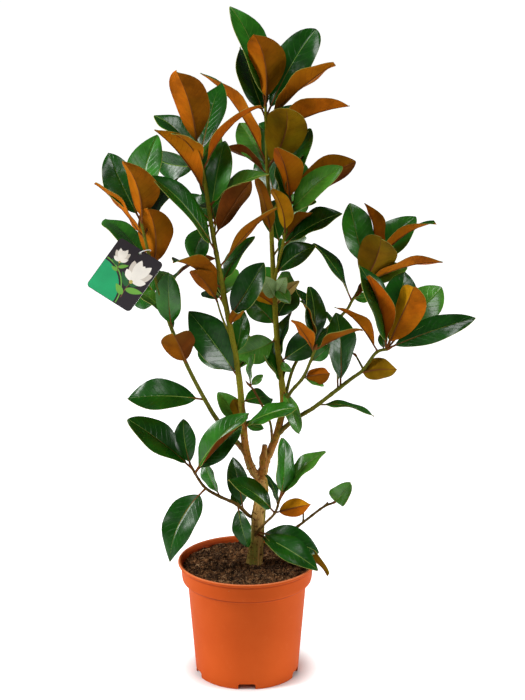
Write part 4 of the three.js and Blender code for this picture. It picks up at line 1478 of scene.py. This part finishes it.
def scatterTree():
    net, source = startGroup("scatterPeat", {
        "Bits": ("Collection", None), "Apart": ("Float", 0.002), "Density": ("Float", 90000.0),
        "Small": ("Float", 0.7), "Large": ("Float", 2.6), "Tilt": ("Float", 3.14),
        "Within": ("Float", 0.1), "Seed": ("Int", 1), "Paint": ("Material", None)})

    def dealt(kind, ending, low, high):
        made = net.node("RandomValue", {"Seed": source["Seed"]}, data_type=kind)
        net.feed(socketOf(made.inputs, "Min" + ending), low)
        net.feed(socketOf(made.inputs, "Max" + ending), high)
        return socketOf(made.outputs, "Value" + ending)

    place = net.parts(net.out("InputPosition"))
    out = net.lengthOf(net.joined(place["X"], place["Y"]))
    chosen = net.math("LESS_THAN", out, source["Within"])
    for value, least in ((net.parts(net.out("InputNormal"))["Z"], 0.3), (place["Z"], 0.18)):
        chosen = net.times(chosen, net.math("GREATER_THAN", value, least))
    points = net.out("DistributePointsOnFaces",
                     {"Mesh": source["Geometry"], "Selection": chosen, "Seed": source["Seed"],
                      "Distance Min": source["Apart"], "Density Max": source["Density"]},
                     distribute_method="POISSON")
    kinds = net.out("CollectionInfo", {"Collection": source["Bits"], "Reset Children": True,
                                       "Separate Children": True})
    tilt, back = source["Tilt"], net.times(source["Tilt"], -1.0)
    turn = net.out("EulerToRotation", {0: dealt(
        "FLOAT_VECTOR", "", net.joined(back, back, -3.14), net.joined(tilt, tilt, 3.14))})
    size = dealt("FLOAT", "_001", source["Small"], source["Large"])
    bits = net.out("InstanceOnPoints", {"Points": points, "Instance": kinds, "Scale": size,
                                        "Pick Instance": True, "Rotation": turn})
    return endGroup(net, bits, source["Paint"])


scatterPeat = scatterTree()


def scattered(name, group, material, apart, density, small, large, tilt, seed):
    ob = added(name + "Ground", peatBed.data.copy())
    piece = runNodes(ob, scatterPeat, {
        "Bits": group, "Apart": apart, "Density": density, "Small": small, "Large": large,
        "Tilt": tilt, "Seed": seed, "Paint": material, "Within": peat["clearWall"]}, name)
    for bit in list(group.objects):
        bpy.data.objects.remove(bit)
    bpy.data.collections.remove(group)
    return piece


crumbs = gathered("crumb", crumbShape, peat["crumbKinds"])
fibres = gathered("fibre", fibreShape, peat["fibreKinds"])
looseCrumbs = scattered("looseCrumbs", crumbs, peatMaterial, *peat["crumbSpread"])
looseFibres = scattered("looseFibres", fibres, fibreMaterial, *peat["fibreSpread"])
handOver(peatBed, "peat", "soil")
handOver(looseCrumbs, "peat")
handOver(looseFibres, "peat")
print("peat laid:", len(looseCrumbs.data.polygons), len(looseFibres.data.polygons))


# Care label: a punched card with a plain print in raised colours, on a white loop

label = {
    "wide": 88,
    "tall": 98,
    "back": 0.1,  # levels of the card's two faces
    "front": 1.0,
    "corner": 7,
    "border": 0.7,
    "sunk": 0.02,  # how far the print reaches into the card
    "fieldRadius": 53.3,
    "bandRadii": (58.5, 56.5),
    "lowPrint": 0.05,  # level of the field and the band
    "holeDown": 6,
    "holeRadius": 2.6,
    "cadThick": 1.2,
    "loopLong": 9,
    "loopWide": 6,
    "loopPoints": 48,
    "strapRadius": 0.8,
    "strapAt": 0.885,
    "gap": 0.3,
}
inks = {
    "white": (0.86, 0.86, 0.84),
    "night": (0.012, 0.007, 0.011),
    "emerald": (0.004, 0.33, 0.115),
    "leafDark": (0.012, 0.1, 0.022),
    "leafLight": (0.13, 0.36, 0.04),
    "petal": (0.86, 0.82, 0.74),
    "petalShade": (0.66, 0.6, 0.52),
    "heart": (0.5, 0.42, 0.1),
    "twig": (0.16, 0.07, 0.025),
}
twigLeaves = (  # joint of the twig, turn, length and colour
    (2, 150, 0.7, "leafDark"), (3, 25, 0.75, "leafLight"), (5, 160, 0.55, "leafLight"),
    (1, 40, 0.5, "leafDark"))
petals = (  # lean, length, width, colour and level
    (-34, 0.92, 0.36, "petalShade", 0.17), (34, 0.92, 0.36, "petalShade", 0.18),
    (-14, 1.02, 0.36, "petal", 0.21), (16, 1.0, 0.36, "petal", 0.24),
    (0, 0.86, 0.4, "petal", 0.28), (-58, 0.62, 0.28, "petal", 0.31),
    (60, 0.6, 0.28, "petal", 0.32))

cardRight = Vector((0.82, -0.4, -0.42)).normalized()
cardUp = Vector((0.55, 0.4, 0.74))
cardUp = (cardUp - cardRight * cardRight.dot(cardUp)).normalized()
cardOut = cardRight.cross(cardUp)
strapWay = Vector((-0.96, -0.04, -0.28))
strapWay = (strapWay - cardOut * cardOut.dot(strapWay)).normalized()
strapHeld = 1.4 * radiusAt("leftBough", label["strapAt"]) + label["gap"] + label["strapRadius"]
strapMiddle = pointAt("leftBough", label["strapAt"]) + strapWay * (label["loopLong"] - strapHeld)
cardOrigin = (strapMiddle + strapWay * label["loopLong"] + cardUp * label["holeDown"]
              - cardOut * (label["cadThick"] / 2))


def arc(cx, cy, radius, start, end, steps):
    turns = [math.radians(mix(start, end, i / steps)) for i in range(steps + 1)]
    return [(cx + radius * math.cos(a), cy + radius * math.sin(a)) for a in turns]


def plate(outline, low, high, under, edge, face, holes=()):
    # under, edge and face name the inks of the underside, the walls and the top
    inkIndex = list(inks).index
    loops = {level: [[cardMesh.verts.new((cardOrigin + cardRight * x + cardUp * y
                                          + cardOut * level) * mm) for x, y in rim]
                     for rim in (outline, *holes)] for level in (low, high)}
    for level, ink in ((low, under), (high, face)):
        edges = [cardMesh.edges.new((a, b)) for loop in loops[level]
                 for a, b in zip(loop, loop[1:] + loop[:1])]
        for item in bmesh.ops.triangle_fill(cardMesh, use_beauty=True, edges=edges)["geom"]:
            if isinstance(item, bmesh.types.BMFace):
                item.material_index = inkIndex(ink)
    for below, above in zip(loops[low], loops[high]):
        for i in range(len(below)):
            side = cardMesh.faces.new((below[i - 1], below[i], above[i], above[i - 1]))
            side.material_index = inkIndex(edge)


def printed(outline, level, ink, edge=None):
    edge = edge or ink
    plate(outline, label["front"] - label["sunk"], label["front"] + level, edge, edge, ink)


def petalOutline(cx, cy, angle, long, wide, tip=0.75):
    points = [(i / 12 * long, wide / 2 * math.sin(math.pi * (i / 12) ** tip) ** 0.8)
              for i in range(13)]
    points += [(x, -y) for x, y in points[-2:0:-1]]
    a = math.radians(angle)
    return [(cx + x * math.cos(a) - y * math.sin(a), cy + x * math.sin(a) + y * math.cos(a))
            for x, y in points]


def spray(cx, cy, turn, size):  # a cupped flower seen from the side, on its leafy twig
    a = math.radians(turn)
    up, over = Vector((-math.sin(a), math.cos(a))), Vector((math.cos(a), math.sin(a)))
    down = [Vector((cx, cy)) - up * (size * 0.75 * k / 6) + over * (size * 0.02 * k * k / 6)
            for k in range(7)]
    printed([tuple(p - over * 0.7) for p in down] + [tuple(p + over * 0.7) for p in down[::-1]],
            0.08, "twig")
    for joint, side, long, ink in twigLeaves:
        printed(petalOutline(*down[joint], turn + side, size * long, size * 0.26),
                0.12 + 0.01 * joint, ink)
    for lean, long, wide, ink, level in petals:
        printed(petalOutline(cx, cy, turn + 90 + lean, size * long, size * wide, 1.25),
                level, ink, "petalShade")
    printed(arc(cx, cy, size * 0.08, 0, 360, 14)[:-1], 0.36, "heart")


def flatPaint(name, colour, rough):
    paint = Paint(name, rough, coat=(0.5, 0.12))
    ink = paint.patched(tint(colour, 0.9), tint(colour, 1.06), paint.clouds(38.0), (0.3, 0.7))
    return paint.made(ink, paint.clouds(160.0), 0.0001, 0.3)


cardMesh = bmesh.new()
corner, border = label["corner"], label["border"]
inset = label["wide"] / 2 - corner
foot = corner - label["tall"]
cardEdge = []
for cx, cy, start in ((-inset, -corner, 90), (-inset, foot, 180), (inset, foot, 270),
                      (inset, -corner, 0)):
    cardEdge += arc(cx, cy, corner, start, start + 90, 8)
hole = arc(0, -label["holeDown"], label["holeRadius"], 360, 0, 28)[:-1]
plate(cardEdge, label["back"], label["front"], "white", "white", "night", [hole])
left, bottom = border - label["wide"] / 2, border - label["tall"]
field = arc(left, bottom, label["fieldRadius"], 90, 0, 22)
field += arc(-inset, foot, corner - border, 270, 180, 6)
printed(field, label["lowPrint"], "emerald")
outer, inner = label["bandRadii"]
band = arc(left, bottom, outer, 89, 1, 22) + arc(left, bottom, inner, 1, 89, 22)
printed(band, label["lowPrint"], "leafLight")
spray(16, -54, -8, 40)
spray(-20, -36, 14, 24)
bmesh.ops.recalc_face_normals(cardMesh, faces=cardMesh.faces)
careCard = added("careCard", meshOf(cardMesh, "careCard"))
for name, colour in inks.items():
    careCard.data.materials.append(flatPaint("ink" + name.capitalize(), colour, 0.4))
handOver(careCard, "card", "label_card")

strapCurve = newCurve("strapLine")
strapCurve.data.bevel_depth = 1
strapCurve.data.bevel_resolution = 4
turns = [2 * math.pi * k / label["loopPoints"] for k in range(label["loopPoints"])]
loop = addSpline(strapCurve, [strapMiddle + strapWay * (math.cos(turn) * label["loopLong"])
                              + cardOut * (math.sin(turn) * label["loopWide"])
                              for turn in turns], [label["strapRadius"]] * len(turns))
loop.use_cyclic_u = True
strapPiece = plainMesh(strapCurve, "labelLoop")
strapPiece.data.materials.clear()
strapPiece.data.materials.append(flatPaint("loopPlastic", (0.84, 0.84, 0.82), 0.35))
strapPiece.data.shade_smooth()
handOver(strapPiece, "strap", "label_strap")
print("label hung")
